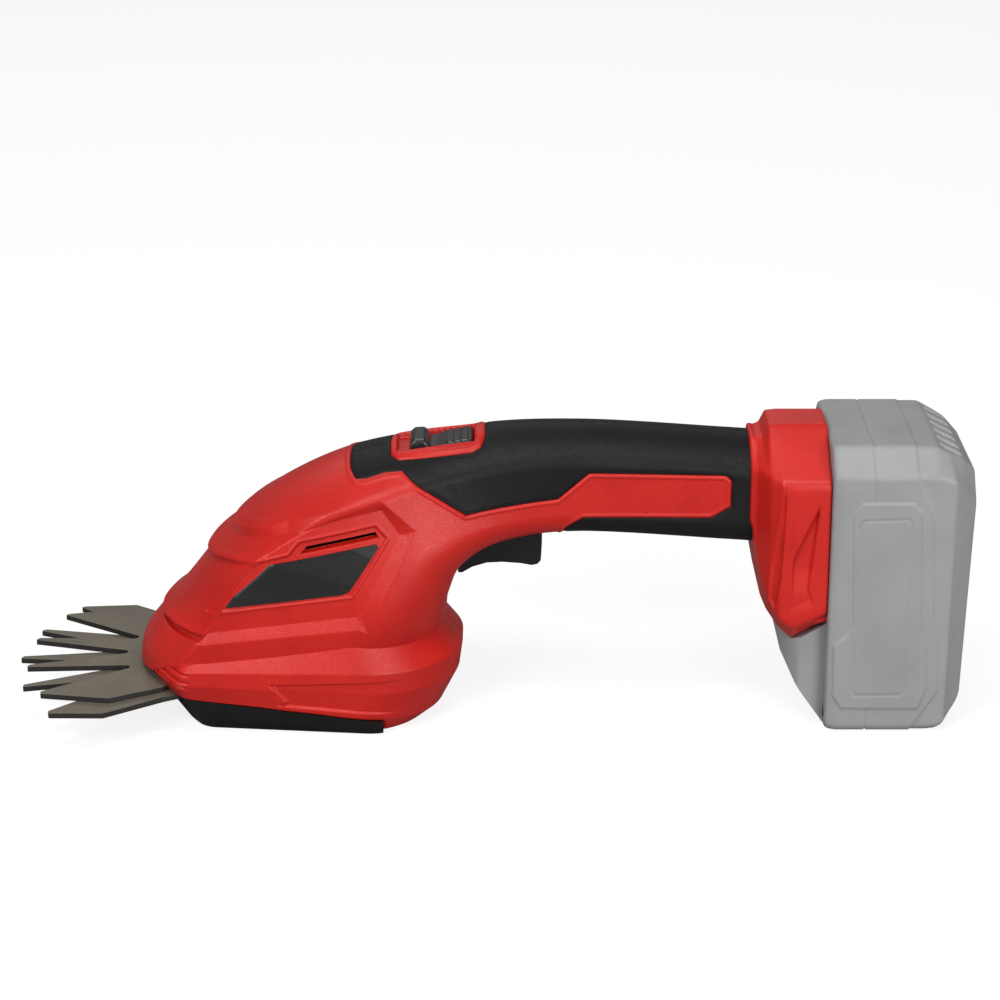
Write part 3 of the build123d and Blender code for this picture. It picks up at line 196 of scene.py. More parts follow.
def put_mesh(name: str, vertices: np.ndarray, faces: np.ndarray) -> bpy.types.Object:
    """Object from vertices in millimetres and four-cornered faces.

    Args:
        name: Name of the piece.
        vertices: Rows of x, y, z.
        faces: Rows of four vertex numbers.

    Returns:
        The new object, smooth shaded, at the origin.
    """
    mesh = bpy.data.meshes.new(name)
    count = len(faces)
    mesh.vertices.add(len(vertices))
    mesh.vertices.foreach_set("co", (vertices * MM).astype(np.float32).ravel())
    mesh.loops.add(count * 4)
    mesh.loops.foreach_set("vertex_index", faces.astype(np.int32).ravel())
    mesh.polygons.add(count)
    mesh.polygons.foreach_set("loop_start", np.arange(0, count * 4, 4, dtype=np.int32))
    mesh.update(calc_edges=True)
    mesh.validate()
    mesh.shade_smooth()
    piece = bpy.data.objects.new(name, mesh)
    bpy.context.scene.collection.objects.link(piece)
    return piece


def grid_faces(rows: int, columns: int, flip: bool) -> np.ndarray:
    """Faces of an open grid.

    Args:
        rows: Number of rows.
        columns: Number of columns.
        flip: Whether the faces are turned round.

    Returns:
        Rows of four vertex numbers.
    """
    index = np.arange(rows * columns).reshape(rows, columns)
    corners = [index[:-1, :-1], index[:-1, 1:], index[1:, 1:], index[1:, :-1]]
    if flip:
        corners.reverse()
    return np.stack([c.ravel() for c in corners], axis=1)


def grid_piece(name: str, points: np.ndarray, flip: bool, grain: Optional[np.ndarray] = None,
               hole: Optional[np.ndarray] = None) -> bpy.types.Object:
    """Piece from a grid of points, with an optional value per point that the finish reads.

    Args:
        name: Name of the piece.
        points: Rows by columns by three.
        flip: Whether the faces are turned round.
        grain: Strength of the finish's grain at each point.
        hole: True at the points that no face may touch with all four corners.

    Returns:
        The new object.
    """
    rows, columns = points.shape[:2]
    faces = grid_faces(rows, columns, flip)
    if hole is not None:
        faces = faces[~hole.ravel()[faces].all(axis=1)]
    piece = put_mesh(name, points.reshape(-1, 3), faces)
    if grain is not None:
        layer = piece.data.attributes.new(GRAIN_LAYER, "FLOAT", "POINT")
        layer.data.foreach_set("value", grain.astype(np.float32).ravel())
    return piece


def cad_copy(node: str, name: str, width: float, segments: int = 3, angle: float = 28.0,
             keep: Optional[Callable[[Vector], bool]] = None) -> bpy.types.Object:
    """Copy of a solid's mesh with its flats merged and its edges rounded.

    Args:
        node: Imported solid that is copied.
        name: Name of the piece.
        width: Width of the rounding in millimetres.
        segments: Steps across the rounding.
        angle: Edges sharper than this, in degrees, are rounded.
        keep: Test of a face's centre in millimetres; faces that fail it are left out.

    Returns:
        The new object.
    """
    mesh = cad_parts[node].data.copy()
    mesh.name = name
    mesh.materials.clear()
    work = bmesh.new()
    work.from_mesh(mesh)
    bmesh.ops.remove_doubles(work, verts=work.verts, dist=WELD)
    if keep:
        lost = [f for f in work.faces if not keep(f.calc_center_median() / MM)]
        bmesh.ops.delete(work, geom=lost, context="FACES")
    bmesh.ops.dissolve_limit(work, angle_limit=math.radians(FLAT_ANGLE), verts=work.verts, edges=work.edges)
    work.to_mesh(mesh)
    work.free()
    mesh.shade_smooth()
    mesh.set_sharp_from_angle(angle=math.radians(SHARP_ANGLE))
    piece = bpy.data.objects.new(name, mesh)
    bpy.context.scene.collection.objects.link(piece)
    if width > 0:
        bevel = piece.modifiers.new("edges", "BEVEL")
        bevel.width = width * MM
        bevel.segments = segments
        bevel.limit_method = "ANGLE"
        bevel.angle_limit = math.radians(angle)
        bevel.harden_normals = True
        bevel.miter_outer = "MITER_ARC"
    return piece


def places_of(piece: bpy.types.Object) -> np.ndarray:
    """Places of a piece's vertices.

    Args:
        piece: Piece whose mesh is read.

    Returns:
        One row in millimetres for each vertex.
    """
    places = np.empty(len(piece.data.vertices) * 3, dtype=np.float32)
    piece.data.vertices.foreach_get("co", places)
    return places.reshape(-1, 3).astype(float) / MM


def set_places(piece: bpy.types.Object, places: np.ndarray) -> None:
    """Puts a piece's vertices at new places, given in millimetres."""
    piece.data.vertices.foreach_set("co", (places * MM).astype(np.float32).ravel())
    piece.data.update()


def shrink(piece: bpy.types.Object, centre: Point, factor: tuple[float, float, float],
           chosen: Callable[[np.ndarray, np.ndarray, np.ndarray], np.ndarray]) -> None:
    """Draws the chosen vertices of a copy towards a centre, so that it lies under a skin of its own.

    Args:
        piece: Copy that is changed.
        centre: Centre in millimetres.
        factor: Factor along each axis.
        chosen: Test of the vertices' places in millimetres.
    """
    places = places_of(piece)
    picked = chosen(*places.T)
    places[picked] = np.array(centre) + (places[picked] - np.array(centre)) * np.array(factor)
    set_places(piece, places)


@dataclass(frozen=True)
class Teeth:
    """Teeth of one blade, spread evenly about the pivot, whose tips are narrower and cut aslant.

    Args:
        count: Number of teeth.
        reach: Distance from the pivot to the tips in millimetres.
        pitch: Angle from one tooth to the next, degrees.
        kept: Share of a tip's width that is left.
        lean: Angle by which a tip is turned aside, degrees.
        slant: How much shorter a tip is on its cut side, millimetres.
        slant_angle: Angle over which it gets that much shorter, degrees.
        tip: Length of the part that is changed, millimetres.
        half_tooth: Largest angle between a tooth's middle and its side, degrees.
    """

    count: int
    reach: float
    pitch: float = 18.5
    kept: float = 0.42
    lean: float = 0.35
    slant: float = 0.9
    slant_angle: float = 1.7
    tip: float = 1.2
    half_tooth: float = 4.0

    def taper(self, piece: bpy.types.Object) -> None:
        """Draws each tip together, so that the tooth tapers over its whole length.

        Args:
            piece: Copy of the blade.
        """
        low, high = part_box("pivot_bolt")
        pivot = (low.x + high.x) / 2 / MM
        places = places_of(piece)
        x, y = places[:, 0] - pivot, places[:, 1]
        radius, angle = np.hypot(x, y), np.degrees(np.arctan2(y, -x))
        half = (self.count - 1) / 2
        tooth = (np.clip(np.round(angle / self.pitch + half), 0, self.count - 1) - half) * self.pitch
        away = angle - tooth
        drawn = tooth + self.kept * away - self.lean
        shorter = radius - self.slant * np.clip(away / self.slant_angle, 0.0, 1.0)
        tip = (radius > self.reach - self.tip) & (np.abs(away) < self.half_tooth)
        places[tip, 0] = (pivot - shorter * np.cos(np.radians(drawn)))[tip]
        places[tip, 1] = (shorter * np.sin(np.radians(drawn)))[tip]
        set_places(piece, places)


def carry(piece: bpy.types.Object, body: str, nodes: Sequence[str] = ()) -> bpy.types.Object:
    """Sets what a piece rides on and the solids it stands for.

    Args:
        piece: Piece that is set up.
        body: Body that it rides on.
        nodes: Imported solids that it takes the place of.

    Returns:
        The same piece.
    """
    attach(piece, body)
    if nodes:
        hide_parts(*nodes)
    return piece


# ================================================================= finishes
# Sizes of the noises in millimetres, shared by all finishes: drifting patches, roughness and specks.
PATCH_SIZE = 22.0
FINE_SIZE = 1.6
SPECK_SIZE = 0.5
# Levels of the noises between which a colour drifts, a patch is rubbed and a speck shows; the level at which
# specks start falls by SPECK_FALL for a finish that is full of them.
DRIFT = (0.35, 0.7)
RUBBED = (0.45, 0.8)
SPECKS = (0.78, 0.86)
SPECK_FALL = 0.14
NOISE_MIDDLE = (0.3, 0.7)
# Upward share of a face's normal over which the painted shade on a plate's standing faces gives way to its main colour.
PAINTED_SHADE_TILT = (0.35, 0.75)
# Height in millimetres and strength of the moulding's faint unevenness, and roughness of a clear coat.
WAVE_HEIGHT = 0.05
WAVE_STRENGTH = 0.35
COAT_ROUGHNESS = 0.25


class Grain(Enum):
    """Surface texture of a finish."""

    SPARKED = "spark-eroded moulding"
    SATIN = "fine satin moulding"
    RUBBER = "soft rubber"
    BRUSHED = "ground along one way"
    CAST = "as cast"
    PLAIN = "smooth"


@dataclass(frozen=True)
class Finish:
    """A finish: colours that drift a little, a roughness that varies, and a grain.

    Args:
        name: Name of the material.
        colour: Main colour, linear.
        shade: Second colour that large soft patches drift to.
        dust: Colour of specks and rubbed places.
        rough: Lowest and highest roughness.
        metal: 1 for bare metal.
        grain: Kind of texture.
        grain_size: Size of the texture in millimetres.
        grain_depth: Height of the texture in millimetres.
        speck: Share of the surface with specks, from 0 to 1.
        masked: True where the grain is held back by the piece's grain attribute.
        coat: Weight of a clear gloss over it.
        mirror: Level of the plain reflection.
        stretch: How far brushing is drawn out along each axis.
        edge: Painted shade on faces that stand on edge, where light from above falls less, where it differs.
    """

    name: str
    colour: Colour
    shade: Colour
    dust: Colour
    rough: tuple[float, float] = (0.35, 0.5)
    metal: float = 0.0
    grain: Grain = Grain.SATIN
    grain_size: float = 0.4
    grain_depth: float = 0.02
    speck: float = 0.0
    masked: bool = False
    coat: float = 0.0
    mirror: float = 0.5
    stretch: tuple[float, float, float] = (1.0, 1.0, 1.0)
    edge: Optional[Colour] = None

    def material(self) -> bpy.types.Material:
        """The node material, made once.

        Returns:
            The material with this finish's name.
        """
        title = f"{self.name}_finish"
        found = bpy.data.materials.get(title)
        if found:
            return found
        made = bpy.data.materials.new(title)
        made.use_nodes = True
        tree = made.node_tree
        shader = tree.nodes["Principled BSDF"]
        for socket, level in (("Metallic", self.metal), ("Specular IOR Level", self.mirror),
                              ("Coat Weight", self.coat), ("Coat Roughness", COAT_ROUGHNESS)):
            shader.inputs[socket].default_value = level
        place = tree.nodes.new("ShaderNodeTexCoord").outputs["Object"]
        patches = self._noise(tree, place, PATCH_SIZE, 3.0)
        fine = self._noise(tree, place, FINE_SIZE, 2.0)
        colour = self._mix(tree, self._ramp(tree, patches, *DRIFT), self.colour, self.shade)
        few = self._noise(tree, place, SPECK_SIZE, 4.0)
        specks = self._ramp(tree, few, SPECKS[0] - SPECK_FALL * self.speck, SPECKS[1])
        rubbed = self._times(tree, specks, self._ramp(tree, patches, *RUBBED))
        if self.speck > 0:
            colour = self._mix(tree, rubbed, colour, self.dust)
        # Painted shade: faces that stand on edge take the darker edge colour, as the light from above misses them.
        if self.edge:
            facing = tree.nodes.new("ShaderNodeSeparateXYZ")
            tree.links.new(tree.nodes.new("ShaderNodeNewGeometry").outputs["Normal"], facing.inputs["Vector"])
            size = tree.nodes.new("ShaderNodeMath")
            size.operation = "ABSOLUTE"
            tree.links.new(facing.outputs["Z"], size.inputs[0])
            painted_side_shade = self._range(tree, self._ramp(tree, size.outputs[0], *PAINTED_SHADE_TILT), 1.0, 0.0)
            colour = self._mix(tree, painted_side_shade, colour, self.edge)
        tree.links.new(colour, shader.inputs["Base Color"])
        tree.links.new(self._range(tree, fine, *self.rough), shader.inputs["Roughness"])
        tree.links.new(self._bump(tree, place, patches), shader.inputs["Normal"])
        return made

    def _noise(self, tree: bpy.types.NodeTree, place: bpy.types.NodeSocket, size: float, detail: float,
               stretch: Optional[tuple[float, float, float]] = None) -> bpy.types.NodeSocket:
        """Noise whose blotches are about size millimetres across.

        Args:
            tree: Nodes of the material.
            place: Coordinates that the noise lies on.
            size: Size of a blotch in millimetres.
            detail: Number of finer layers.
            stretch: Factor on each coordinate; a small one draws the blotches out.

        Returns:
            The noise's value.
        """
        if stretch:
            mapping = tree.nodes.new("ShaderNodeMapping")
            mapping.inputs["Scale"].default_value = stretch
            tree.links.new(place, mapping.inputs["Vector"])
            place = mapping.outputs["Vector"]
        noise = tree.nodes.new("ShaderNodeTexNoise")
        noise.inputs["Scale"].default_value = 1.0 / (size * MM)
        noise.inputs["Detail"].default_value = detail
        tree.links.new(place, noise.inputs["Vector"])
        return noise.outputs["Fac"]

    def _ramp(self, tree: bpy.types.NodeTree, value: bpy.types.NodeSocket, low: float,
              high: float) -> bpy.types.NodeSocket:
        """0 below low, 1 above high, and a smooth step between them.

        Args:
            tree: Nodes of the material.
            value: Value that is ramped.
            low: Value that gives 0.
            high: Value that gives 1.

        Returns:
            The ramped value.
        """
        node = tree.nodes.new("ShaderNodeMapRange")
        node.interpolation_type = "SMOOTHSTEP"
        node.inputs["From Min"].default_value = low
        node.inputs["From Max"].default_value = high
        tree.links.new(value, node.inputs["Value"])
        return node.outputs["Result"]

    def _range(self, tree: bpy.types.NodeTree, value: bpy.types.NodeSocket, low: float,
               high: float) -> bpy.types.NodeSocket:
        """The middle of a noise, from 0.3 to 0.7, spread over low to high.

        Args:
            tree: Nodes of the material.
            value: Value that is spread.
            low: Result for 0.3.
            high: Result for 0.7.

        Returns:
            The spread value.
        """
        node = tree.nodes.new("ShaderNodeMapRange")
        for socket, level in zip(("From Min", "From Max", "To Min", "To Max"), (*NOISE_MIDDLE, low, high)):
            node.inputs[socket].default_value = level
        tree.links.new(value, node.inputs["Value"])
        return node.outputs["Result"]

    def _times(self, tree: bpy.types.NodeTree, one: bpy.types.NodeSocket,
               other: bpy.types.NodeSocket) -> bpy.types.NodeSocket:
        """Product of two values.

        Args:
            tree: Nodes of the material.
            one: First value.
            other: Second value.

        Returns:
            Their product.
        """
        node = tree.nodes.new("ShaderNodeMath")
        node.operation = "MULTIPLY"
        tree.links.new(one, node.inputs[0])
        tree.links.new(other, node.inputs[1])
        return node.outputs[0]

    def _mix(self, tree: bpy.types.NodeTree, share: bpy.types.NodeSocket,
             base: Union[Colour, bpy.types.NodeSocket], over: Colour) -> bpy.types.NodeSocket:
        """A plain colour laid over another, which may be the result of an earlier mix.

        Args:
            tree: Nodes of the material.
            share: Share of the upper colour.
            base: Lower colour.
            over: Upper colour.

        Returns:
            The mixed colour.
        """
        node = tree.nodes.new("ShaderNodeMix")
        node.data_type = "RGBA"
        lower, upper = [s for s in node.inputs if s.type == "RGBA"]
        if isinstance(base, bpy.types.NodeSocket):
            tree.links.new(base, lower)
        else:
            lower.default_value = (*base, 1.0)
        upper.default_value = (*over, 1.0)
        tree.links.new(share, node.inputs["Factor"])
        return [s for s in node.outputs if s.type == "RGBA"][0]

    def _bump(self, tree: bpy.types.NodeTree, place: bpy.types.NodeSocket,
              patches: bpy.types.NodeSocket) -> bpy.types.NodeSocket:
        """Bump of this finish's grain over a faint unevenness of the moulding.

        Args:
            tree: Nodes of the material.
            place: Coordinates that the grain lies on.
            patches: Large soft noise that the unevenness follows.

        Returns:
            The bumped normal.
        """
        wave = tree.nodes.new("ShaderNodeBump")
        wave.inputs["Distance"].default_value = WAVE_HEIGHT * MM
        wave.inputs["Strength"].default_value = WAVE_STRENGTH
        tree.links.new(patches, wave.inputs["Height"])
        stretch = self.stretch if self.grain is Grain.BRUSHED else None
        grain = self._noise(tree, place, self.grain_size, 2.0, stretch)
        if self.grain is Grain.SPARKED:
            pits = tree.nodes.new("ShaderNodeTexVoronoi")
            pits.inputs["Scale"].default_value = 1.0 / (self.grain_size * MM)
            tree.links.new(place, pits.inputs["Vector"])
            grain = self._times(tree, grain, pits.outputs["Distance"])
        if self.masked:
            mask = tree.nodes.new("ShaderNodeAttribute")
            mask.attribute_name = GRAIN_LAYER
            grain = self._times(tree, grain, mask.outputs["Fac"])
        bump = tree.nodes.new("ShaderNodeBump")
        bump.inputs["Distance"].default_value = self.grain_depth * MM
        bump.inputs["Strength"].default_value = 1.0
        tree.links.new(grain, bump.inputs["Height"])
        tree.links.new(wave.outputs["Normal"], bump.inputs["Normal"])
        return bump.outputs["Normal"]

    def dress(self, piece: bpy.types.Object) -> bpy.types.Object:
        """Gives a piece this finish alone.

        Args:
            piece: Piece that is dressed.

        Returns:
            The same piece.
        """
        piece.data.materials.clear()
        piece.data.materials.append(self.material())
        return piece

    def dress_node(self, node: str) -> None:
        """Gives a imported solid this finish.

        Args:
            node: Name of the solid.
        """
        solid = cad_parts[node]
        for place in solid.material_slots:
            place.material = self.material()


RED = Finish("red_shell_plastic", (0.600, 0.016, 0.010), (0.545, 0.012, 0.008), (0.72, 0.16, 0.13), (0.34, 0.44),
             mirror=0.4, grain=Grain.SPARKED, grain_size=0.42, grain_depth=0.11, speck=0.05, masked=True)
RED_FOOT = Finish("red_foot_plastic", (0.620, 0.018, 0.012), (0.565, 0.014, 0.009), (0.72, 0.16, 0.13), (0.34, 0.46),
                  mirror=0.4, grain=Grain.SPARKED, grain_size=0.42, grain_depth=0.06, speck=0.05)
GRIP = Finish("soft_black_grip", (0.0060, 0.0060, 0.0063), (0.0090, 0.0090, 0.0095), (0.09, 0.09, 0.09), (0.46, 0.60),
              mirror=0.24, grain=Grain.RUBBER, grain_size=0.5, grain_depth=0.05, speck=0.25)
BLACK = Finish("black_plastic", (0.0065, 0.0065, 0.0070), (0.0100, 0.0100, 0.0105), (0.07, 0.07, 0.07), (0.30, 0.44),
               mirror=0.35, grain=Grain.SATIN, grain_size=0.45, grain_depth=0.02, speck=0.12)
GLOSS_BLACK = Finish("gloss_black_plastic", (0.016, 0.016, 0.017), (0.022, 0.022, 0.023), (0.10, 0.10, 0.10),
                     (0.26, 0.34), mirror=0.6, grain=Grain.PLAIN, grain_size=2.0, grain_depth=0.004)
SOLE_BLACK = Finish("sole_black_plastic", (0.0060, 0.0055, 0.0055), (0.0095, 0.0090, 0.0090), (0.09, 0.08, 0.08),
                    (0.42, 0.58), mirror=0.28, grain=Grain.SPARKED, grain_size=0.5, grain_depth=0.05, speck=0.2)
PLATE = Finish("plate_foil", (0.010, 0.010, 0.011), (0.016, 0.016, 0.017), (0.09, 0.09, 0.09), (0.30, 0.42),
               grain=Grain.SATIN, grain_size=0.3, grain_depth=0.02, speck=0.3)
# The blade's edge colour is painted shade on its faces that stand on edge.
BLADE = Finish("blade_steel", (0.186, 0.164, 0.126), (0.150, 0.131, 0.100), (0.045, 0.040, 0.034), (0.40, 0.58),
               metal=0.25, grain=Grain.BRUSHED, grain_size=0.5, grain_depth=0.02, speck=0.5, stretch=(0.12, 1.0, 1.0),
               edge=(0.030, 0.028, 0.026))
GREY = Finish("grey_pack_plastic", (0.330, 0.331, 0.335), (0.300, 0.301, 0.305), (0.50, 0.50, 0.50), (0.46, 0.60),
              grain=Grain.SPARKED, grain_size=0.45, grain_depth=0.05, speck=0.05)
BRIGHT = Finish("bright_steel", (0.58, 0.58, 0.57), (0.47, 0.47, 0.46), (0.30, 0.27, 0.22), (0.20, 0.36), metal=1.0,
                grain=Grain.BRUSHED, grain_size=0.3, grain_depth=0.01, speck=0.1, stretch=(1.0, 1.0, 0.2))
BRONZE = Finish("bronze", (0.55, 0.34, 0.15), (0.44, 0.26, 0.11), (0.30, 0.18, 0.08), (0.28, 0.42), metal=1.0,
                grain=Grain.CAST, grain_size=0.4, grain_depth=0.02, speck=0.2)
ALLOY = Finish("cast_alloy", (0.50, 0.51, 0.52), (0.42, 0.43, 0.44), (0.60, 0.60, 0.60), (0.38, 0.55), metal=0.9,
               grain=Grain.CAST, grain_size=0.6, grain_depth=0.05, speck=0.2)
FERRITE = Finish("ferrite", (0.050, 0.050, 0.054), (0.035, 0.035, 0.038), (0.12, 0.12, 0.12), (0.40, 0.60),
                 grain=Grain.CAST, grain_size=0.5, grain_depth=0.03, speck=0.3)
SLEEVE = Finish("cell_sleeve", (0.020, 0.120, 0.280), (0.015, 0.095, 0.230), (0.10, 0.20, 0.34), (0.18, 0.30),
                grain=Grain.PLAIN, grain_size=2.0, grain_depth=0.02, coat=0.4)
NYLON = Finish("natural_nylon", (0.62, 0.60, 0.55), (0.55, 0.53, 0.48), (0.40, 0.38, 0.34), (0.34, 0.50),
               grain=Grain.SATIN, grain_size=0.5, grain_depth=0.02, speck=0.1)
BOARD = Finish("circuit_board", (0.012, 0.110, 0.045), (0.010, 0.085, 0.035), (0.35, 0.30, 0.12), (0.25, 0.40),
               grain=Grain.PLAIN, grain_size=1.0, grain_depth=0.02, speck=0.6, coat=0.3)


# ================================================================= moulded body
# Number of places that an average over a window takes, and half length of the window between straight runs,
# as a share of a run.
WINDOW = 9
SOFT_CORNER = 0.05


@dataclass(frozen=True)
class Station:
    """One cross-section of a moulded body, in the plane through its rear and crown points.

    Args:
        rear: Side-view place of its rear.
        crown: Side-view place of its crown.
        rear_width: Half width at the rear.
        front_width: Half width where the crown's arc starts.
        bulge: Height of the crown's arc.
        rear_round: Radius of the rear corners.
        front_round: Radius where the sides meet the crown.
    """

    rear: tuple[float, float]
    crown: tuple[float, float]
    rear_width: float
    front_width: float
    bulge: float
    rear_round: float
    front_round: float

    def numbers(self) -> list[float]:
        """All of the section's numbers in one row."""
        return [*self.rear, *self.crown, self.rear_width, self.front_width, self.bulge, self.rear_round,
                self.front_round]


class Blend(Enum):
    """How a body runs from one station to the next."""

    SMOOTH = "curve through four stations"
    STRAIGHT = "straight runs with softened corners"


@dataclass(frozen=True)
class MouldedForm:
    """Surface through stations, worked out for one side of the parting plane.

    Args:
        stations: Sections in order.
        blend: Way from one station to the next.
        columns: Points on the rear flat, rear corner, side, front corner and crown.
    """

    stations: tuple[Station, ...]
    blend: Blend
    columns: tuple[int, int, int, int, int]

    def table(self, u: np.ndarray) -> np.ndarray:
        """Section numbers at u, where whole numbers are the stations themselves.

        SMOOTH is the cubic that passes each station parallel to the line between its neighbours.
        STRAIGHT is the mean of linear runs over a short window, which rounds the corners.

        Args:
            u: Places along the form.

        Returns:
            One row of nine numbers for each place.
        """
        rows = np.array([s.numbers() for s in self.stations])
        last = len(rows) - 1
        if self.blend is Blend.STRAIGHT:
            window = np.linspace(-SOFT_CORNER, SOFT_CORNER, WINDOW)
            spread = np.clip(u[:, None] + window, 0, last)
            runs = [np.interp(spread, np.arange(last + 1), column).mean(axis=1) for column in rows.T]
            return np.stack(runs, axis=1)
        i = np.clip(u.astype(int), 0, last - 1)
        t = (u - i)[:, None]
        a, b, c, d = rows[np.maximum(i - 1, 0)], rows[i], rows[i + 1], rows[np.minimum(i + 2, last)]
        return (a * (2 * t**2 - t - t**3) + b * (2 - 5 * t**2 + 3 * t**3) + c * (t + 4 * t**2 - 3 * t**3)
                + d * (t**3 - t**2)) / 2

    def half(self, u: np.ndarray, side: int) -> np.ndarray:
        """Grid of points on one side: u along the form by the section's outline from rear to crown.

        The outline is a flat, an arc of the rear radius, a straight side, an arc of the front radius and the
        crown's arc, each tangent to the next.

        Args:
            u: Places along the form.
            side: -1 for the operator's left, 1 for the right.

        Returns:
            Points as rows by columns by three.
        """
        rx, rz, cx, cz, rw, fw, bulge, r1, r2 = (column[:, None] for column in self.table(u).T)
        length = np.hypot(cx - rx, cz - rz)
        arch = (fw**2 + bulge**2) / (2 * bulge)
        knee = length - bulge
        run = np.hypot(knee, fw - rw)
        dx, dy = knee / run, (fw - rw) / run
        nx, ny = -dy, dx
        start = r1 / np.tan(np.arccos(-dy) / 2)
        centre = length - arch
        qx, qy = -nx * r2 - centre, rw - ny * r2
        along = qx * dx + qy * dy
        end = -along + np.sqrt(along**2 - qx**2 - qy**2 + (arch - r2)**2)
        px, py = dx * end - nx * r2, rw + dy * end - ny * r2
        turn = np.arctan2(ny, nx)
        meet = np.arctan2(py, px - centre)
        n0, n1, n2, n3, n4 = self.columns
        f0, f1, f2, f3 = (np.arange(n)[None, :] / n for n in (n0, n1, n2, n3))
        f4 = np.linspace(0, 1, n4)[None, :]
        a1 = math.pi + (turn - math.pi) * f1
        a3 = turn + (meet - turn) * f3
        a4 = meet * (1 - f4)
        along_side = start + (end - start) * f2
        x = np.concatenate([0 * f0 * rw, r1 + r1 * np.cos(a1), dx * along_side, px + r2 * np.cos(a3),
                            centre + arch * np.cos(a4)], axis=1)
        y = np.concatenate([(rw - start) * f0, rw - start + r1 * np.sin(a1), rw + dy * along_side,
                            py + r2 * np.sin(a3), arch * np.sin(a4)], axis=1)
        return np.stack([rx + (cx - rx) / length * x, side * y, rz + (cz - rz) / length * x], axis=2)


def shelled(points: np.ndarray, wall: float) -> np.ndarray:
    """The grid with its parting edges turned inwards by the wall's thickness, so that it shows no thin edge.

    Args:
        points: Rows by columns by three, with the first and last column on the parting plane.
        wall: Thickness in millimetres.

    Returns:
        The grid with one more column at each edge.
    """
    normal = outward_normals(points)
    first = points[:, :1] - wall * normal[:, :1]
    last = points[:, -1:] - wall * normal[:, -1:]
    first[:, :, 1] = points[:, :1, 1]
    last[:, :, 1] = points[:, -1:, 1]
    return np.concatenate([first, points, last], axis=1)


def pushed(points: np.ndarray, depth: np.ndarray) -> np.ndarray:
    """Points moved out along the grid's normals, with the parting edges kept on their plane.

    Args:
        points: Rows by columns by three.
        depth: Distance for each point, negative inwards.

    Returns:
        The moved grid.
    """
    moved = points + outward_normals(points) * depth[:, :, None]
    moved[:, (0, -1), 1] = points[:, (0, -1), 1]
    return moved


def softened(net: np.ndarray, knots: np.ndarray, places: np.ndarray, half: float) -> np.ndarray:
    """Rows of a net at the given places: straight between its rows and averaged over a short window.

    The average over the window rounds every corner by the window's half length.

    Args:
        net: Rows by columns by three.
        knots: Length along the form at which each row stands.
        places: Lengths that are wanted.
        half: Half length of the window; it shrinks to nothing at both ends.

    Returns:
        One row for each place.
    """
    reach = np.minimum(half, np.minimum(places - knots[0], knots[-1] - places))
    spread = places[:, None] + reach[:, None] * np.linspace(-1, 1, WINDOW)
    low = np.clip(np.searchsorted(knots, spread, side="right") - 1, 0, len(knots) - 2)
    share = ((spread - knots[low]) / (knots[low + 1] - knots[low]))[..., None, None]
    return (net[low] * (1 - share) + net[low + 1] * share).mean(axis=1)


@dataclass(frozen=True)
class SoftNet:
    """Faceted form through rings of control points, with every edge rounded.

    Args:
        rings: Rings in order, each with the same number of places (x, y, z).
        soft: Half length of the rounding along the form and across it.
        step: Distance between points along the form and across it.
        lead: Column whose length sets the spacing of the rings.
    """

    rings: tuple[tuple[tuple[float, float, float], ...], ...]
    soft: tuple[float, float] = (1.6, 1.8)
    step: tuple[float, float] = (0.45, 0.5)
    lead: int = 2

    def grid(self, side: int = 1) -> np.ndarray:
        """Grid of points.

        Args:
            side: 1, or -1 for the mirror image.

        Returns:
            Points as rows by columns by three.
        """
        net = np.array(self.rings, dtype=float) * np.array([1.0, side, 1.0])
        for soft, step in zip(self.soft, self.step):
            legs = np.linalg.norm(np.diff(net[:, self.lead], axis=0), axis=1) + 0.05
            knots = np.concatenate([[0.0], np.cumsum(legs)])
            places = np.linspace(0.0, knots[-1], int(knots[-1] / step) + 2)
            net = softened(net, knots, places, soft).transpose(1, 0, 2)
        return net


def half_ring(x: Sequence[float], top: float, crown: float, side: float, shoulder: float, hip: float,
              keel: float, low: float) -> tuple[tuple[float, float, float], ...]:
    """Control points of a chamfered half section, from the middle of its top to the middle of its foot.

    Args:
        x: Place along the tool of each of the six points, or one place for all.
        top: Height of the top.
        crown: Half width of the top.
        side: Half width at the sides.
        shoulder: Height where the side starts.
        hip: Height where the side ends.
        keel: Half width of the underside.
        low: Height of the underside.

    Returns:
        Six places.
    """
    at = tuple(x) * (6 // len(x))
    flat = ((0.0, top), (crown, top), (side, shoulder), (side, hip), (keel, low), (0.0, low))
    return tuple((place, y, z) for place, (y, z) in zip(at, flat))


# ================================================================= housing
# Outlines in the side view, as (x, z) in millimetres from the nose, stern, foot or pack face of the tool.
# The sole cover's upper seam leaves its rear end at SEAM_REAR_HEIGHT and rises forwards by SEAM_RISE.
SEAM_RISE = math.tan(math.radians(7.0))
SEAM_REAR_HEIGHT = 5.2
# Widths over which a moulded step, a layer of the nose and the wall of a pocket rise.
STEP_EDGE = 0.5
LAYER_EDGE = 0.45
POCKET_EDGE = 0.4
# Width over which the nose's layers give way to the flat side, at the crease.
CREASE_WIDTH = 2.4
GRIP_OUTLINE = [
    (D.rear - 43.8, 125.0), (D.rear - 43.8, 102.0), (D.rear - 42.9, 99.0), (D.rear - 41.1, 95.0),
    (D.rear - 38.7, 93.3), (D.rear - 34.7, 93.9), (D.rear - 28.2, 95.7), (D.rear - 21.8, 96.4),
    (D.rear - 18.2, 94.0), (D.rear + 1.5, 80.2), (D.rear + 15.6, 82.0), (D.rear + 35.1, 84.4),
    (D.rear + 46.4, 94.2), (D.foot - 9.1, 93.4), (D.foot - 7.2, 91.6), (D.foot - 7.3, 81.9),
    (D.foot - 14.2, 77.6), (D.rear + 44.2, 77.5), (D.rear + 41.0, 75.5), (D.rear + 37.8, 73.0),
    (D.rear + 33.0, 60.0), (D.foot + 6.0, 55.0), (D.foot + 6.0, 125.0)]
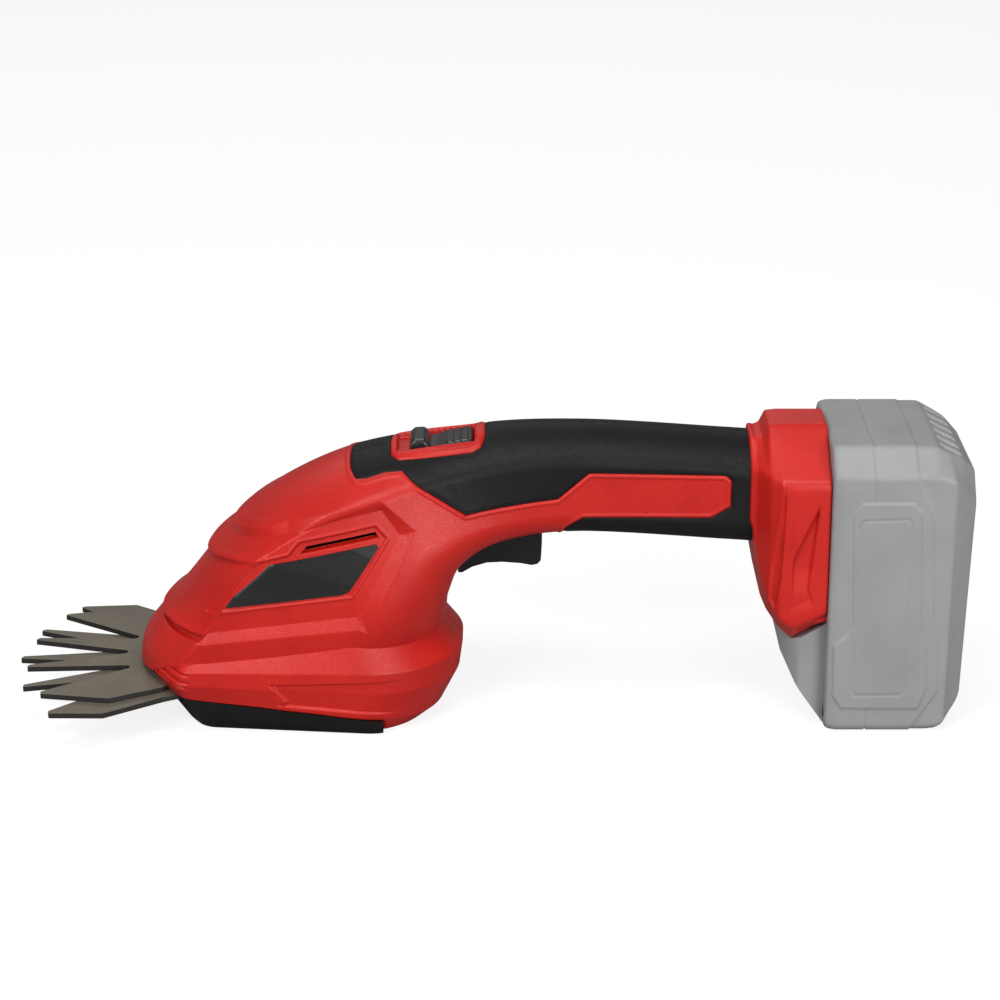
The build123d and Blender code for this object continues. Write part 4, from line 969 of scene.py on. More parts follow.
BEZEL_OUTLINE = [
    (D.rear - 27.0, 125.0), (D.rear - 27.2, 102.6), (D.rear - 25.9, 99.9), (D.rear - 23.3, 99.2),
    (D.rear - 10.8, 100.5), (D.rear + 3.6, 102.0), (D.rear + 6.6, 103.4), (D.rear + 8.0, 106.0), (D.rear + 8.2, 125.0)]
RECESS_OUTER = [
    (D.nose - 20, 36.0), (D.nose - 20, 50.6), (D.nose + 35.8, 71.0), (D.nose + 38.1, 71.9), (D.nose + 44.0, 74.2),
    (D.nose + 52.0, 77.1), (D.nose + 58.6, 80.4), (D.rear - 30.1, 89.1), (D.rear - 16.6, 77.0),
    (D.rear - 34.3, 39.6), (D.rear - 37.2, 41.3), (D.nose + 27.4, 35.6), (D.nose + 23.0, 36.4)]
RECESS_INNER = [
    (D.nose - 20, 36.6), (D.nose - 20, 50.0), (D.nose + 35.8, 70.3), (D.nose + 38.1, 71.1), (D.nose + 44.0, 73.3),
    (D.nose + 52.0, 75.9), (D.nose + 58.2, 78.2), (D.rear - 28.5, 85.2), (D.rear - 22.2, 76.2),
    (D.rear - 38.7, 45.7), (D.nose + 27.4, 39.5), (D.nose + 23.0, 37.4)]
LABEL_FRAME = [
    (D.nose + 27.0, 47.4), (D.nose + 44.7, 65.8), (D.nose + 59.3, 69.2), (D.nose + 63.4, 74.0),
    (D.rear - 31.0, 79.2), (D.rear - 27.0, 74.9), (D.rear - 40.2, 54.0)]
VENT_OUTLINE = [(D.nose + 63.7, 69.7), (D.nose + 65.8, 72.4), (D.nose + 90.8, 77.0), (D.nose + 91.9, 75.1)]
SHINGLE_EDGES = [
    [(D.nose + 35.8, 71.4), (D.nose + 38.1, 72.2), (D.nose + 44.0, 74.5), (D.nose + 52.0, 77.1),
     (D.nose + 58.7, 79.1)],
    [(D.nose + 22.4, 58.2), (D.nose + 26.8, 61.3), (D.nose + 33.7, 64.2), (D.nose + 41.5, 66.6)],
    [(D.nose + 8.0, 37.3), (D.nose + 13.5, 38.3), (D.nose + 20.6, 38.8), (D.nose + 27.3, 39.3)],
    [(D.nose - 2.0, 20.0), (D.nose + 23.4, 26.0)]]
CREASE = [
    (D.rear - 43.1, 94.5), (D.rear - 61.5, 80.9), (D.rear - 67.2, 76.2), (D.rear - 72.9, 70.1), (D.rear - 77.1, 65.8),
    (D.rear - 88.5, 48.8), (D.rear - 94.1, 39.6), (D.rear - 100.8, 28.1), (D.rear - 104.0, 20.0)]
ARROW_OUTLINE = [
    (D.nose + 51.9, 20.5), (D.rear - 18.2, 21.8), (D.rear - 14.0, 15.0), (D.rear - 22.8, 8.0), (D.nose + 54.5, 12.0),
    (D.nose + 57.8, 13.4)]
NOSE_LIP = [
    (D.nose + 2.2, 17.5), (D.nose + 7.4, 19.9), (D.nose + 13.6, 25.0), (D.nose + 23.4, 27.0)]
NOSE_GROOVES = [
    [(D.nose + 3.0, 28.6), (D.nose + 20.0, 24.5)], [(D.nose + 3.0, 25.6), (D.nose + 21.2, 21.2)],
    [(D.nose + 3.0, 22.6), (D.nose + 22.3, 18.6)]]
FOOT_PANEL = [
    (D.face - 4.3, 86.5), (D.face - 13.2, 66.0), (D.face - 13.4, 46.0), (D.face - 5.6, 50.0), (D.face - 7.6, 55.0)]
FOOT_FIN = [
    (D.face - 16.6, 94.0), (D.face - 18.4, 80.0), (D.face - 20.6, 62.0), (D.face - 21.4, 50.0),
    (D.face - 19.6, 46.6), (D.face - 17.6, 60.0), (D.face - 16.6, 84.0)]


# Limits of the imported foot: half width in plan as (x, y) and from the front as (z, y), and underside as (x, z).
FOOT_PLAN = [(D.foot - 1.0, 19.6), (D.foot + 4.5, 21.0), (D.foot + 10.5, 32.9), (D.face, 33.5)]
FOOT_FRONT = [(33.0, 26.5), (40.0, 33.5), (95.5, 33.5), (110.6, 9.5)]
FOOT_UNDERSIDE = [
    (D.foot, 71.5), (D.foot + 2.3, 56.0), (D.foot + 4.4, 47.0), (D.foot + 8.3, 40.0), (D.foot + 15.6, 33.0),
    (D.face, 40.5)]


def ahead_of_crease(x: np.ndarray, z: np.ndarray) -> np.ndarray:
    """Distance along the tool from the crease forwards to a point, negative behind the crease."""
    xs, zs = np.array(CREASE[::-1]).T
    return np.interp(z, zs, xs) - x


def in_front_of_crease(x: np.ndarray, z: np.ndarray) -> np.ndarray:
    """1 on the nose and 0 on the flat side, easing over the crease between them."""
    return inside(-ahead_of_crease(x, z), CREASE_WIDTH)


def on_layer(z: np.ndarray, top: np.ndarray, bottom: np.ndarray) -> tuple[np.ndarray, np.ndarray]:
    """Where a point lies on a layer between two lines.

    Args:
        z: Heights of the points.
        top: Height of the upper line above each point.
        bottom: Height of the lower line.

    Returns:
        Share of the way down the layer, and a mask that is 1 on it and eases to 0 over its edges.
    """
    share = np.clip((top - z) / np.maximum(top - bottom, 1.0), 0.0, 1.0)
    return share, inside(z - top, LAYER_EDGE) * inside(bottom - z, LAYER_EDGE)


@dataclass(frozen=True)
class NoseLayer:
    """One raised layer of the nose, from under the lip above it down to its own lip.

    Args:
        start: Depth under the lip above, negative inwards.
        end: Depth at its own lip.
        hold: Share of its rise that is left at the crease.
    """

    start: float
    end: float
    hold: float


NOSE_LAYERS = (NoseLayer(-2.3, -0.5, 0.35), NoseLayer(-2.6, -0.3, 0.45))


@dataclass
class Housing:
    """Red moulded housing: head, skirt, handle core and foot, each half its own moulding.

    Args:
        half_width: Half width of the head.
        skirt_half: Half width of the skirt.
        foot_half: Half width of the foot.
        grip_half: Half width of the handle.
        recess: Depth of the side recess.
        bed_depth: Depth of the bed round the rating plate.
        bed_rim: Height of the rim round that bed.
        lip: Height of the beads that end the nose's upper and lowest edges.
        layer_bead: Height of the bead at the lip of each nose layer.
        lowest_sink: Depth under the last lip, at the top of the nose's lowest layer.
        hem: Step down from the nose to the mouth of the blades.
        grip_bed: Depth of the bed that the soft grip lies in.
        grip_lip: Height of the lip round the soft grip.
        vent_depth: Depth of the cooling slot.
        flank: Distance from the middle plane past which a point belongs to a side.
        tray: Front, rear and half width of the lock's tray, measured from the stern.
        tray_growth: How much larger the tray is in a hidden skin, all round.
        tray_above: Height over which a point can belong to the tray.
        tray_floor: Height of the tray's floor.
        slot: Front, rear and half width of the trigger's slot, measured from the stern.
        slot_between: Heights between which a point can belong to the slot.
        slot_roof: Height of the slot's roof.
        seam: Depth of the groove along the parting plane.
        seam_width: Width of that groove.
        arrow_depth: Depth of the sunk arrow on the skirt.
        groove_depth: Depth of the nose's grooves.
        sole_step: Depth of the step down to the sole cover.
        seam_run: Length of the sole cover's upper seam.
        skirt_seam: Depth of the skirt's groove along the parting plane.
        mouth_top: Height of the mouth of the blades.
        mouth_depth: How far the mouth of the blades is drawn back.
        ledge: Width of the ledge that closes the skirt's top.
        panel_depth: Depth of the foot's panel.
        fin_depth: Depth of the foot's fin.
        wall: Thickness shown at parting edges.
    """

    half_width: float = 40.0
    skirt_half: float = 42.5
    foot_half: float = 33.5
    grip_half: float = 18.3
    recess: float = 2.3
    bed_depth: float = 0.6
    bed_rim: float = 0.32
    lip: float = 0.25
    layer_bead: float = 0.35
    lowest_sink: float = 1.8
    hem: float = 3.2
    grip_bed: float = 1.5
    grip_lip: float = 0.35
    vent_depth: float = 3.0
    flank: float = 20.0
    tray: tuple[float, float, float] = (-24.0, 4.3, 10.0)
    tray_growth: float = 2.0
    tray_above: float = 95.0
    tray_floor: float = 98.8
    slot: tuple[float, float, float] = (-3.3, 30.4, 8.5)
    slot_between: tuple[float, float] = (50.5, 75.0)
    slot_roof: float = 86.0
    seam: float = 0.22
    seam_width: float = 0.35
    arrow_depth: float = 1.1
    groove_depth: float = 1.0
    sole_step: float = 1.6
    seam_run: float = 87.6
    skirt_seam: float = 0.4
    mouth_top: float = 16.9
    mouth_depth: float = 14.0
    ledge: float = 4.5
    panel_depth: float = 1.9
    fin_depth: float = 1.1
    wall: float = 2.4

    def body(self) -> MouldedForm:
        """Form of head and handle, from inside the skirt up over the nose and back to the foot.

        Returns:
            The form, whose fourth to last stations carry the soft grip.
        """
        r, n, f, w, g = D.rear, D.nose, D.foot, self.half_width, self.grip_half
        return MouldedForm((
            Station((r - 7.5, 15.0), (n + 0.6, 15.0), w - 4.5, w - 2.0, 17.0, 34.0, 4.0),
            Station((r - 7.0, 29.0), (n + 1.4, 27.0), w - 3.5, w - 1.2, 17.2, 34.0, 4.0),
            Station((r - 6.0, 41.0), (n + 11.2, 41.0), w - 1.8, w - 0.3, 17.5, 28.0, 4.0),
            Station((r - 4.8, 48.5), (n + 35.0, 70.0), w - 2.5, w - 1.2, 11.5, 24.0, 3.5),
            Station((r + 0.4, 59.3), (n + 75.3, 94.7), w - 7.5, w - 7.0, 12.0, 18.0, 6.0),
            Station((r + 15.2, 66.6), (r + 2.0, 106.1), g + 3.6, g + 3.2, 11.0, 10.0, 7.0),
            Station((r + 43.4, 69.2), (r + 43.4, 108.5), g, g, 10.0, 10.0, 7.0),
            Station((f - 8.0, 66.2), (f - 8.0, 105.3), g + 0.3, g + 0.3, 10.0, 10.0, 7.0),
            Station((f + 3.0, 65.5), (f + 3.0, 104.4), g + 0.7, g + 0.7, 10.0, 10.0, 7.0)),
            Blend.SMOOTH, (26, 44, 226, 16, 110))

    def skirt(self) -> MouldedForm:
        """Form of the boat-shaped skirt, with straight runs between its ledges.

        Returns:
            The form, from its lowest edge up to the ledge under the head.
        """
        r, n, w = D.rear, D.nose, self.skirt_half
        seam_front = SEAM_REAR_HEIGHT + SEAM_RISE * self.seam_run
        return MouldedForm((
            Station((r - 13.5, 0.0), (n + 15.0, 0.0), w - 2.5, w - 10.0, 12.0, 28.0, 9.0),
            Station((r - 7.8, 4.0), (n + 5.0, seam_front), w - 1.2, w - 3.2, 14.5, 32.0, 8.0),
            Station((r - 1.4, 15.5), (n + 1.2, 21.1), w - 0.2, w - 1.0, 16.5, 36.0, 7.0),
            Station((r - 0.1, 24.6), (n + 2.6, 25.6), w - 0.3, w - 1.2, 17.0, 37.0, 7.0),
            Station((r - 10.4, 37.0), (n + 5.0, 28.6), w - 3.5, w - 6.4, 16.0, 32.0, 7.0)),
            Blend.STRAIGHT, (16, 70, 140, 18, 80))

    def nose_steps(self, x: np.ndarray, z: np.ndarray) -> np.ndarray:
        """Layers of the nose: each starts sunk under the lip above and rises to a lip of its own.

        The rise goes with the square of the way down the layer and ends in a small rounded bead. It fades
        towards the crease, where the layers run into the side's recess. The lowest layer has no lip.

        Args:
            x: Places along the tool.
            z: Heights.

        Returns:
            Depth of each point, negative inwards.
        """
        ahead = ahead_of_crease(x, z)
        lips = [height_on(line, x) for line in SHINGLE_EDGES]
        depth = self.lip * ridge((z - lips[0]) - 0.9, 0.6) * ease(ahead / 9.0)
        for layer, top, bottom in zip(NOSE_LAYERS, lips, lips[1:]):
            share, on = on_layer(z, top, bottom)
            away = layer.hold + (1.0 - layer.hold) * ease(ahead / 14.0)
            bead = self.layer_bead * ridge((z - bottom) - 1.0, 0.8)
            depth += ((layer.start + self.recess) + (layer.end - layer.start) * share**2 * away + bead * away) * on
        share, on = on_layer(z, lips[-2], lips[-1])
        return depth - self.lowest_sink * (1.0 - share) * ease(ahead / 10.0) * on

    def side_steps(self, x: np.ndarray, z: np.ndarray) -> np.ndarray:
        """Depth of the recess, which slopes between its two outlines and carries on round the nose.

        Args:
            x: Places along the tool.
            z: Heights.

        Returns:
            Depth of each point, negative inwards.
        """
        outer = signed_distance(x, z, RECESS_OUTER)
        inner = signed_distance(x, z, RECESS_INNER)
        return -self.recess * np.clip(-outer / np.maximum(inner - outer, 0.05), 0.0, 1.0)

    def bed(self, x: np.ndarray, z: np.ndarray) -> np.ndarray:
        """Depth of the bed round the rating plate, with a thin raised rim."""
        edge = signed_distance(x, z, LABEL_FRAME)
        return self.bed_rim * ridge(edge - 0.75, 0.5) - self.bed_depth * inside(edge, STEP_EDGE)

    def grip_field(self, x: np.ndarray, z: np.ndarray) -> np.ndarray:
        """Distance to the soft grip's edge, negative where the grip is."""
        return np.maximum(signed_distance(x, z, GRIP_OUTLINE), -signed_distance(x, z, BEZEL_OUTLINE))

    def relief(self, points: np.ndarray) -> np.ndarray:
        """All steps of the red body at once.

        The nose's layers and the side's recess blend over the crease. The grip's bed is a step down, with a
        thin raised lip outside it.

        Args:
            points: Rows by columns by three.

        Returns:
            Depth of each point, negative inwards.
        """
        x, z = points[..., 0], points[..., 2]
        depth = self.side_steps(x, z) + self.bed(x, z) + in_front_of_crease(x, z) * self.nose_steps(x, z)
        below = height_on(NOSE_LIP, x) - z
        depth += (self.lip * ridge(below + 0.8, 0.6) - self.hem * ease(below / 0.5)) * ease((D.nose + 24.0 - x) / 2.0)
        grip = self.grip_field(x, z)
        depth -= self.grip_bed * ease(-grip / 0.7)
        depth += self.grip_lip * ridge(grip - 0.75, 0.5)
        return depth

    def openings(self, points: np.ndarray, start: np.ndarray, under: float = 0.0) -> np.ndarray:
        """Pockets sunk straight in: the cooling slot, the lock's tray, the trigger's slot and the seam.

        Args:
            points: Displaced surface.
            start: The same surface before its relief.
            under: How far below the tray's floor a hidden skin passes; its tray is larger all round too.

        Returns:
            The surface with its pockets.
        """
        x, y, z = start[..., 0], start[..., 1], start[..., 2]
        moved = points.copy()
        vent = inside(signed_distance(x, z, VENT_OUTLINE), STEP_EDGE) * (np.abs(y) > self.flank)
        moved[..., 1] -= np.sign(y) * self.vent_depth * vent
        more = self.tray_growth * (under > 0)
        front, rear, half = self.tray
        tray = rectangle(D.rear + front - more, D.rear + rear + more, half + more)
        sunk = inside(signed_distance(x, y, tray), POCKET_EDGE) * (z > self.tray_above)
        moved[..., 2] += sunk * np.minimum(self.tray_floor - under - moved[..., 2], 0.0)
        front, rear, half = self.slot
        slot = rectangle(D.rear + front, D.rear + rear, half)
        low, high = self.slot_between
        cut = inside(signed_distance(x, y, slot), POCKET_EDGE) * (z < high) * (z > low)
        moved[..., 2] += cut * np.maximum(self.slot_roof - moved[..., 2], 0.0)
        groove = ridge(y, self.seam_width)[..., None]
        moved += self.seam * groove * to_middle(start) * np.array([1.0, 0.0, 1.0])
        return moved

    def grain(self, points: np.ndarray) -> np.ndarray:
        """Strength of the sparked grain: full on the flats, faint on the nose."""
        x, z = points[..., 0], points[..., 2]
        return 1.0 - 0.75 * in_front_of_crease(x, z)

    def build_body(self, side: int, name: str) -> list[bpy.types.Object]:
        """Head and handle on one side, in three pieces that share their joints.

        Args:
            side: -1 for the operator's left, 1 for the right.
            name: Word for that side.

        Returns:
            The pieces from the nose to the handle.
        """
        form = self.body()
        spans = ((joined((0.1, 1, 36), (1, 2, 50), (2, 3, 118)), f"shell_nose_{name}"),
                 (joined((3, 4, 116), (4, 5, 108)), f"shell_crown_{name}"),
                 (joined((5, 8, 200)), f"shell_handle_{name}"))
        made = []
        for u, title in spans:
            start = form.half(u, side)
            points = shelled(self.openings(pushed(start, self.relief(start)), start), self.wall)
            grain = self.grain(start)
            vent = signed_distance(start[..., 0], start[..., 2], VENT_OUTLINE) < -0.35
            vent &= np.abs(start[..., 1]) > self.flank
            grain, vent = (np.pad(value, ((0, 0), (1, 1)), mode="edge") for value in (grain, vent))
            piece = grid_piece(title, points, side > 0, grain, vent)
            RED.dress(piece)
            LOG.info("%s: %d points", title, points.shape[0] * points.shape[1])
            made.append(piece)
        return made

    def build_skirt(self, side: int, name: str) -> bpy.types.Object:
        """Skirt on one side: ledges, sunk arrow, nose grooves and the mouth that the blades come out of.

        Args:
            side: -1 for the operator's left, 1 for the right.
            name: Word for that side.

        Returns:
            The skirt's piece.
        """
        start = self.skirt().half(joined((0, 1, 24), (1, 2, 60), (2, 3, 50), (3, 4, 40)), side)
        x, z = start[..., 0], start[..., 2]
        depth = -self.arrow_depth * inside(signed_distance(x, z, ARROW_OUTLINE), 0.8)
        depth *= ease((D.rear - 16.0 - x) / 34.0)
        for groove in NOSE_GROOVES:
            share = ease((D.nose + 23.0 - x) / 5.0) * ease((x - D.nose - 2.0) / 3.0)
            depth -= self.groove_depth * ridge(z - height_on(groove, x), 0.5) * share
        depth -= self.skirt_seam * ridge(start[..., 1], 0.3)
        seam = SEAM_REAR_HEIGHT - SEAM_RISE * (x - D.rear + SKIRT_PAST_SOLE)
        sole = inside(x - (D.rear - SKIRT_PAST_SOLE), STEP_EDGE) * inside(z - seam, STEP_EDGE)
        depth -= self.sole_step * sole
        points = pushed(start, depth)
        mouth = ease((D.nose + 9.0 - x) / 3.0) * inside(z - self.mouth_top, STEP_EDGE)
        points[..., 0] += self.mouth_depth * mouth
        ledge = points[-1:] + self.ledge * to_middle(points[-1:]) * np.array([1.0, 1.0, 0.0])
        ledge[:, (0, -1), 1] = 0.0
        foot = points[:1] * np.array([1.0, 0.0, 1.0])
        points = np.concatenate([foot, points, ledge], axis=0)
        grain = np.ones(points.shape[:2])
        piece = grid_piece(f"shell_skirt_{name}", points, side > 0, grain)
        LOG.info("skirt_%s: %d points", name, grain.size)
        return RED.dress(piece)

    def foot(self) -> SoftNet:
        """Form of the foot: it flares out of the handle's end and ends square at the pack's face.

        Returns:
            The form, from the handle's end to its rear rim.
        """
        f, b, w = D.foot, D.face, self.foot_half
        return SoftNet((
            half_ring((f - 0.4,), 103.0, 7.0, 17.0, 94.0, 79.0, 9.0, 72.6),
            half_ring((f + 0.1,), 105.4, 8.0, 19.9, 96.0, 76.5, 11.5, 69.6),
            half_ring((f + 0.9,), 105.6, 8.0, 20.2, 96.2, 76.0, 11.8, 68.6),
            half_ring((f + 2.4,), 105.0, 8.5, 21.5, 96.5, 66.0, 13.0, 57.5),
            half_ring((f + 4.6,), 105.8, 9.0, 25.5, 97.0, 56.0, 17.0, 46.8),
            half_ring((f + 6.6,), 110.2, 9.3, 29.0, 96.5, 50.0, 21.0, 42.6),
            half_ring((f + 10.6,), 110.6, 9.5, 32.9, 95.5, 43.0, 25.5, 37.6),
            half_ring((f + 15.6,), 110.6, 9.5, w - 0.2, 95.5, 40.0, 26.5, 33.2),
            half_ring((b - 0.5,), 110.6, 9.5, w, 95.5, 46.0, 26.5, 40.3),
            half_ring((b - 0.1,), 110.0, 9.2, w - 0.5, 95.2, 46.3, 26.2, 40.8),
            half_ring((b - 0.1,), 107.4, 8.0, 30.8, 93.6, 48.0, 24.0, 43.0)), (0.7, 0.9), (0.32, 0.4))

    def near_skin(self, x: np.ndarray, y: np.ndarray, z: np.ndarray) -> np.ndarray:
        """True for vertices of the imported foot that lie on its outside.

        The foot's half width is taken in plan and from the front, and its underside from the side.

        Args:
            x: Places along the tool.
            y: Places across it.
            z: Heights.

        Returns:
            One answer for each vertex.
        """
        half = np.minimum(np.interp(x, *np.array(FOOT_PLAN).T), np.interp(z, *np.array(FOOT_FRONT).T))
        low = np.interp(x, *np.array(FOOT_UNDERSIDE).T)
        return (np.abs(y) > half - 1.4) | (z > 108.9) | (z < low + 1.2) | (x < D.foot + 4.0)

    def build_foot(self, side: int, name: str) -> list[bpy.types.Object]:
        """Foot on one side: its outer skin with a sunk panel and fin, and inside it the rails and chamber.

        Args:
            side: -1 for the operator's left, 1 for the right.
            name: Word for that side.

        Returns:
            The drawn-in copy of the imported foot, and the skin.
        """
        inner = cad_copy(f"housing_{name}", f"shell_foot_{name}", 0.0, 1, 12.0,
                         keep=lambda c: c.x > D.foot + 7.5 and c.z > 30.0)
        shrink(inner, (D.face, 0.0, 75.0), (0.90, 0.93, 0.95), self.near_skin)
        start = self.foot().grid(side)
        x, z = start[..., 0], start[..., 2]
        flank = ease((np.abs(start[..., 1]) - self.flank) / 4.0)
        ramp = 0.35 + 0.65 * np.clip((z - 53.0) / 10.0, 0.0, 1.0)
        depth = -self.panel_depth * ramp * inside(signed_distance(x, z, FOOT_PANEL), 0.55) * flank
        depth -= self.fin_depth * inside(signed_distance(x, z, FOOT_FIN), STEP_EDGE) * flank
        skin = grid_piece(f"shell_foot_skin_{name}", pushed(start, depth), side > 0)
        LOG.info("shell_foot_%s: %d points", name, start[..., 0].size)
        return [RED_FOOT.dress(inner), RED_FOOT.dress(skin)]

    def build(self) -> None:
        """All red pieces, riding on the housing and standing for its two halves."""
        for side, name in ((-1, "left"), (1, "right")):
            pieces = [*self.build_body(side, name), self.build_skirt(side, name), *self.build_foot(side, name)]
            for piece in pieces:
                carry(piece, "housing", [f"housing_{name}"])


@dataclass
class Grip:
    """Soft overmould: the body's own surface, dipping under the red at its edge.

    Args:
        dip: Depth that its edge dives to.
        hide: Further depth that it dives to well outside its outline.
        groove: Depth of the shallow groove inside its edge.
        under: How far it passes below the floor of the lock's tray.
        wall: Thickness shown at the parting edge.
    """

    dip: float = 2.2
    hide: float = 4.0
    groove: float = 0.18
    under: float = 3.0
    wall: float = 2.0

    def build(self, housing: Housing) -> None:
        """Both skins of the grip, left and right.

        Args:
            housing: Red body that the grip lies on.
        """
        form = MouldedForm(housing.body().stations, Blend.SMOOTH, (20, 30, 60, 14, 60))
        places = joined((3.85, 5, 130), (5, 7.93, 240))
        for side, name in ((-1, "left"), (1, "right")):
            start = form.half(places, side)
            edge = housing.grip_field(start[..., 0], start[..., 2])
            depth = -self.dip * ease((edge + 0.55) / 0.9) - self.hide * ease((edge - 1.5) / 5.0)
            depth -= self.groove * ridge(edge + 0.9, 0.5)
            points = shelled(housing.openings(pushed(start, depth), start, self.under), self.wall)
            piece = GRIP.dress(grid_piece(f"soft_grip_{name}", points, side > 0))
            carry(piece, "housing", [f"grip_{name}"])
            LOG.info("soft_grip_%s", name)


# ================================================================= pack
# The front band's rear edge is a line of (z, x); the other two outlines are (x, z) as on the housing.
BAND_EDGE = [
    (1.0, D.face + 31.4), (16.5, D.face + 41.0), (37.0, D.face + 39.9), (42.3, D.face + 38.3), (86.3, D.face + 36.0),
    (99.0, D.face + 30.4), (110.0, D.face + 29.9)]
PACK_PAD = [
    (D.face + 10.4, 89.7), (D.face + 29.0, 89.7), (D.face + 31.8, 86.3), (D.face + 33.8, 41.0), (D.face + 35.8, 35.7),
    (D.face + 36.8, 17.2), (D.face + 33.8, 9.4), (D.face + 5.6, 9.6), (D.face + 2.6, 14.5), (D.face + 2.2, 34.4),
    (D.face + 7.6, 39.2), (D.face + 9.0, 42.3), (D.face + 7.4, 85.0)]
PACK_LABEL = [
    (D.face + 11.4, 83.0), (D.face + 27.4, 83.6), (D.face + 28.6, 82.0), (D.face + 28.6, 16.6), (D.face + 27.0, 15.2),
    (D.face + 10.6, 15.0), (D.face + 9.4, 16.6), (D.face + 10.2, 81.5)]


@dataclass
class Pack:
    """Battery pack's outer skin, left and right of its middle, over the two packed shells.

    Args:
        half_width: Half width of the sides before their raised levels.
        top: Height of the top before its raised level.
        band: Rise of the front level.
        pad: Further rise of the side pad.
        seam: Depth of the seam between the front and rear shells.
        seam_place: Distance of that seam behind the face.
        label_groove: Depth of the groove round the label's area.
        slot_pitch: Distance from one slot of the rear bevel to the next.
        slot_half: Half width of a slot.
        slot_depth: Depth of a slot.
        slots: Places behind the face between which the slots run.
    """

    half_width: float = 36.6
    top: float = 108.1
    band: float = 0.4
    pad: float = 0.5
    seam: float = 0.5
    seam_place: float = 15.0
    label_groove: float = 0.30
    slot_pitch: float = 8.6
    slot_half: float = 1.9
    slot_depth: float = 5.0
    slots: tuple[float, float] = (39.6, 47.6)

    def form(self) -> SoftNet:
        """Form of the pack: square front rim, long flanks, bevelled back closed in a flat rear face.

        Returns:
            The form, from the rim at the foot's face to the middle of the rear.
        """
        f, w, t = D.face, self.half_width, self.top
        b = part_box("battery_rear_shell")[1].x / MM
        return SoftNet((
            half_ring((f + 0.35,), t - 3.0, w - 11.0, w - 3.2, t - 11.5, 5.0, w - 6.0, 3.2),
            half_ring((f + 0.35,), t - 0.6, w - 9.6, w - 1.0, t - 9.0, 2.6, w - 3.5, 0.6),
            half_ring((f + 3.2,), t, w - 9.0, w, t - 8.5, 1.8, w - 2.5, 0.0),
            half_ring((f + 14.0,), t, w - 9.0, w, t - 8.5, 1.8, w - 2.5, 0.0),
            half_ring((b - 15.6,), t, w - 9.0, w, t - 8.5, 1.8, w - 2.5, 0.0),
            half_ring((b - 11.0, b - 11.0, b - 9.0, b - 9.5, b - 12.6, b - 12.6), t - 2.5, w - 9.5, w, t - 10.5,
                      3.0, w - 3.0, 0.0),
            half_ring((b - 6.0, b - 6.0, b - 4.6, b - 6.8, b - 8.6, b - 8.6), 103.2, w - 12.0, w - 3.4, 93.0, 6.5,
                      w - 5.0, 2.8),
            half_ring((b - 0.3, b - 0.3, b - 0.4, b - 2.8, b - 4.6, b - 4.6), 97.2, w - 15.5, w - 7.2, 88.0, 12.0,
                      w - 9.5, 5.8),
            half_ring((b - 0.4, b - 0.4, b - 0.8, b - 2.0, b - 2.4, b - 2.4), 86.0, 10.0, 18.0, 75.0, 28.0, 10.0, 20.0),
            half_ring((b - 1.2,), 56.0, 0.0, 0.0, 55.5, 54.5, 0.0, 54.0)), (1.3, 1.3), (0.40, 0.45))

    def relief(self, points: np.ndarray) -> np.ndarray:
        """Raised front band, side pad, label's area, seam and the six slots of the rear bevel.

        Args:
            points: Rows by columns by three.

        Returns:
            Depth of each point, negative inwards.
        """
        x, y, z = points[..., 0], np.abs(points[..., 1]), points[..., 2]
        flank = ease((y - self.half_width + 5.0) / 2.5) * (x < D.face + 46.0)
        edge = np.interp(z, *np.array(BAND_EDGE).T)
        depth = self.band * inside(x - edge, 0.6) * (z > 0.6)
        rise = inside(signed_distance(x, z, PACK_PAD), 0.8) * flank
        depth += self.pad * rise
        depth -= self.seam * ridge(x - D.face - self.seam_place, 0.3) * (1.0 - rise)
        depth -= self.label_groove * ridge(signed_distance(x, z, PACK_LABEL) - 0.1, 0.35) * flank
        aside = np.abs((points[..., 1] / self.slot_pitch) % 1.0 - 0.5) * self.slot_pitch
        first, last = self.slots
        row = inside(first - (x - D.face), 0.7) * inside((x - D.face) - last, 0.7)
        depth -= self.slot_depth * inside(aside - self.slot_half, 0.6) * row * (z > 96.0) * (y < 26.0)
        return depth

    def under_skin(self, x: np.ndarray, y: np.ndarray, z: np.ndarray) -> np.ndarray:
        """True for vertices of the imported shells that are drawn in: all but the inner parts of the front face."""
        return (x > D.face - 0.2) & ((x > D.face + 2.6) | (np.abs(y) > 29.5) | (z > 100.0))

    def build(self) -> None:
        """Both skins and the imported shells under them."""
        for node, name in (("battery_front_shell", "pack_front"), ("battery_rear_shell", "pack_rear")):
            inner = GREY.dress(cad_copy(node, name, 0.0))
            shrink(inner, (D.face, 0.0, 54.0), (0.91, 0.92, 0.945), self.under_skin)
            carry(inner, "battery", [node])
        for side, name in ((-1, "left"), (1, "right")):
            start = self.form().grid(side)
            piece = GREY.dress(grid_piece(f"pack_skin_{name}", pushed(start, self.relief(start)), side > 0))
            carry(piece, "battery", ["battery_front_shell", "battery_rear_shell"])
            LOG.info("pack_skin_%s: %d points", name, start[..., 0].size)


# ================================================================= lock slide
# Share of the slide's length and depth under its top at each turn of its upper edge.
SLIDE_PROFILE = (
    (0.0, -6.9), (0.0, -3.1), (0.07, -1.7), (0.21, -1.5), (0.25, -2.1), (0.33, -4.6), (0.44, -4.3), (0.56, -3.0),
    (0.97, -1.3), (1.0, -2.1), (1.0, -6.9))


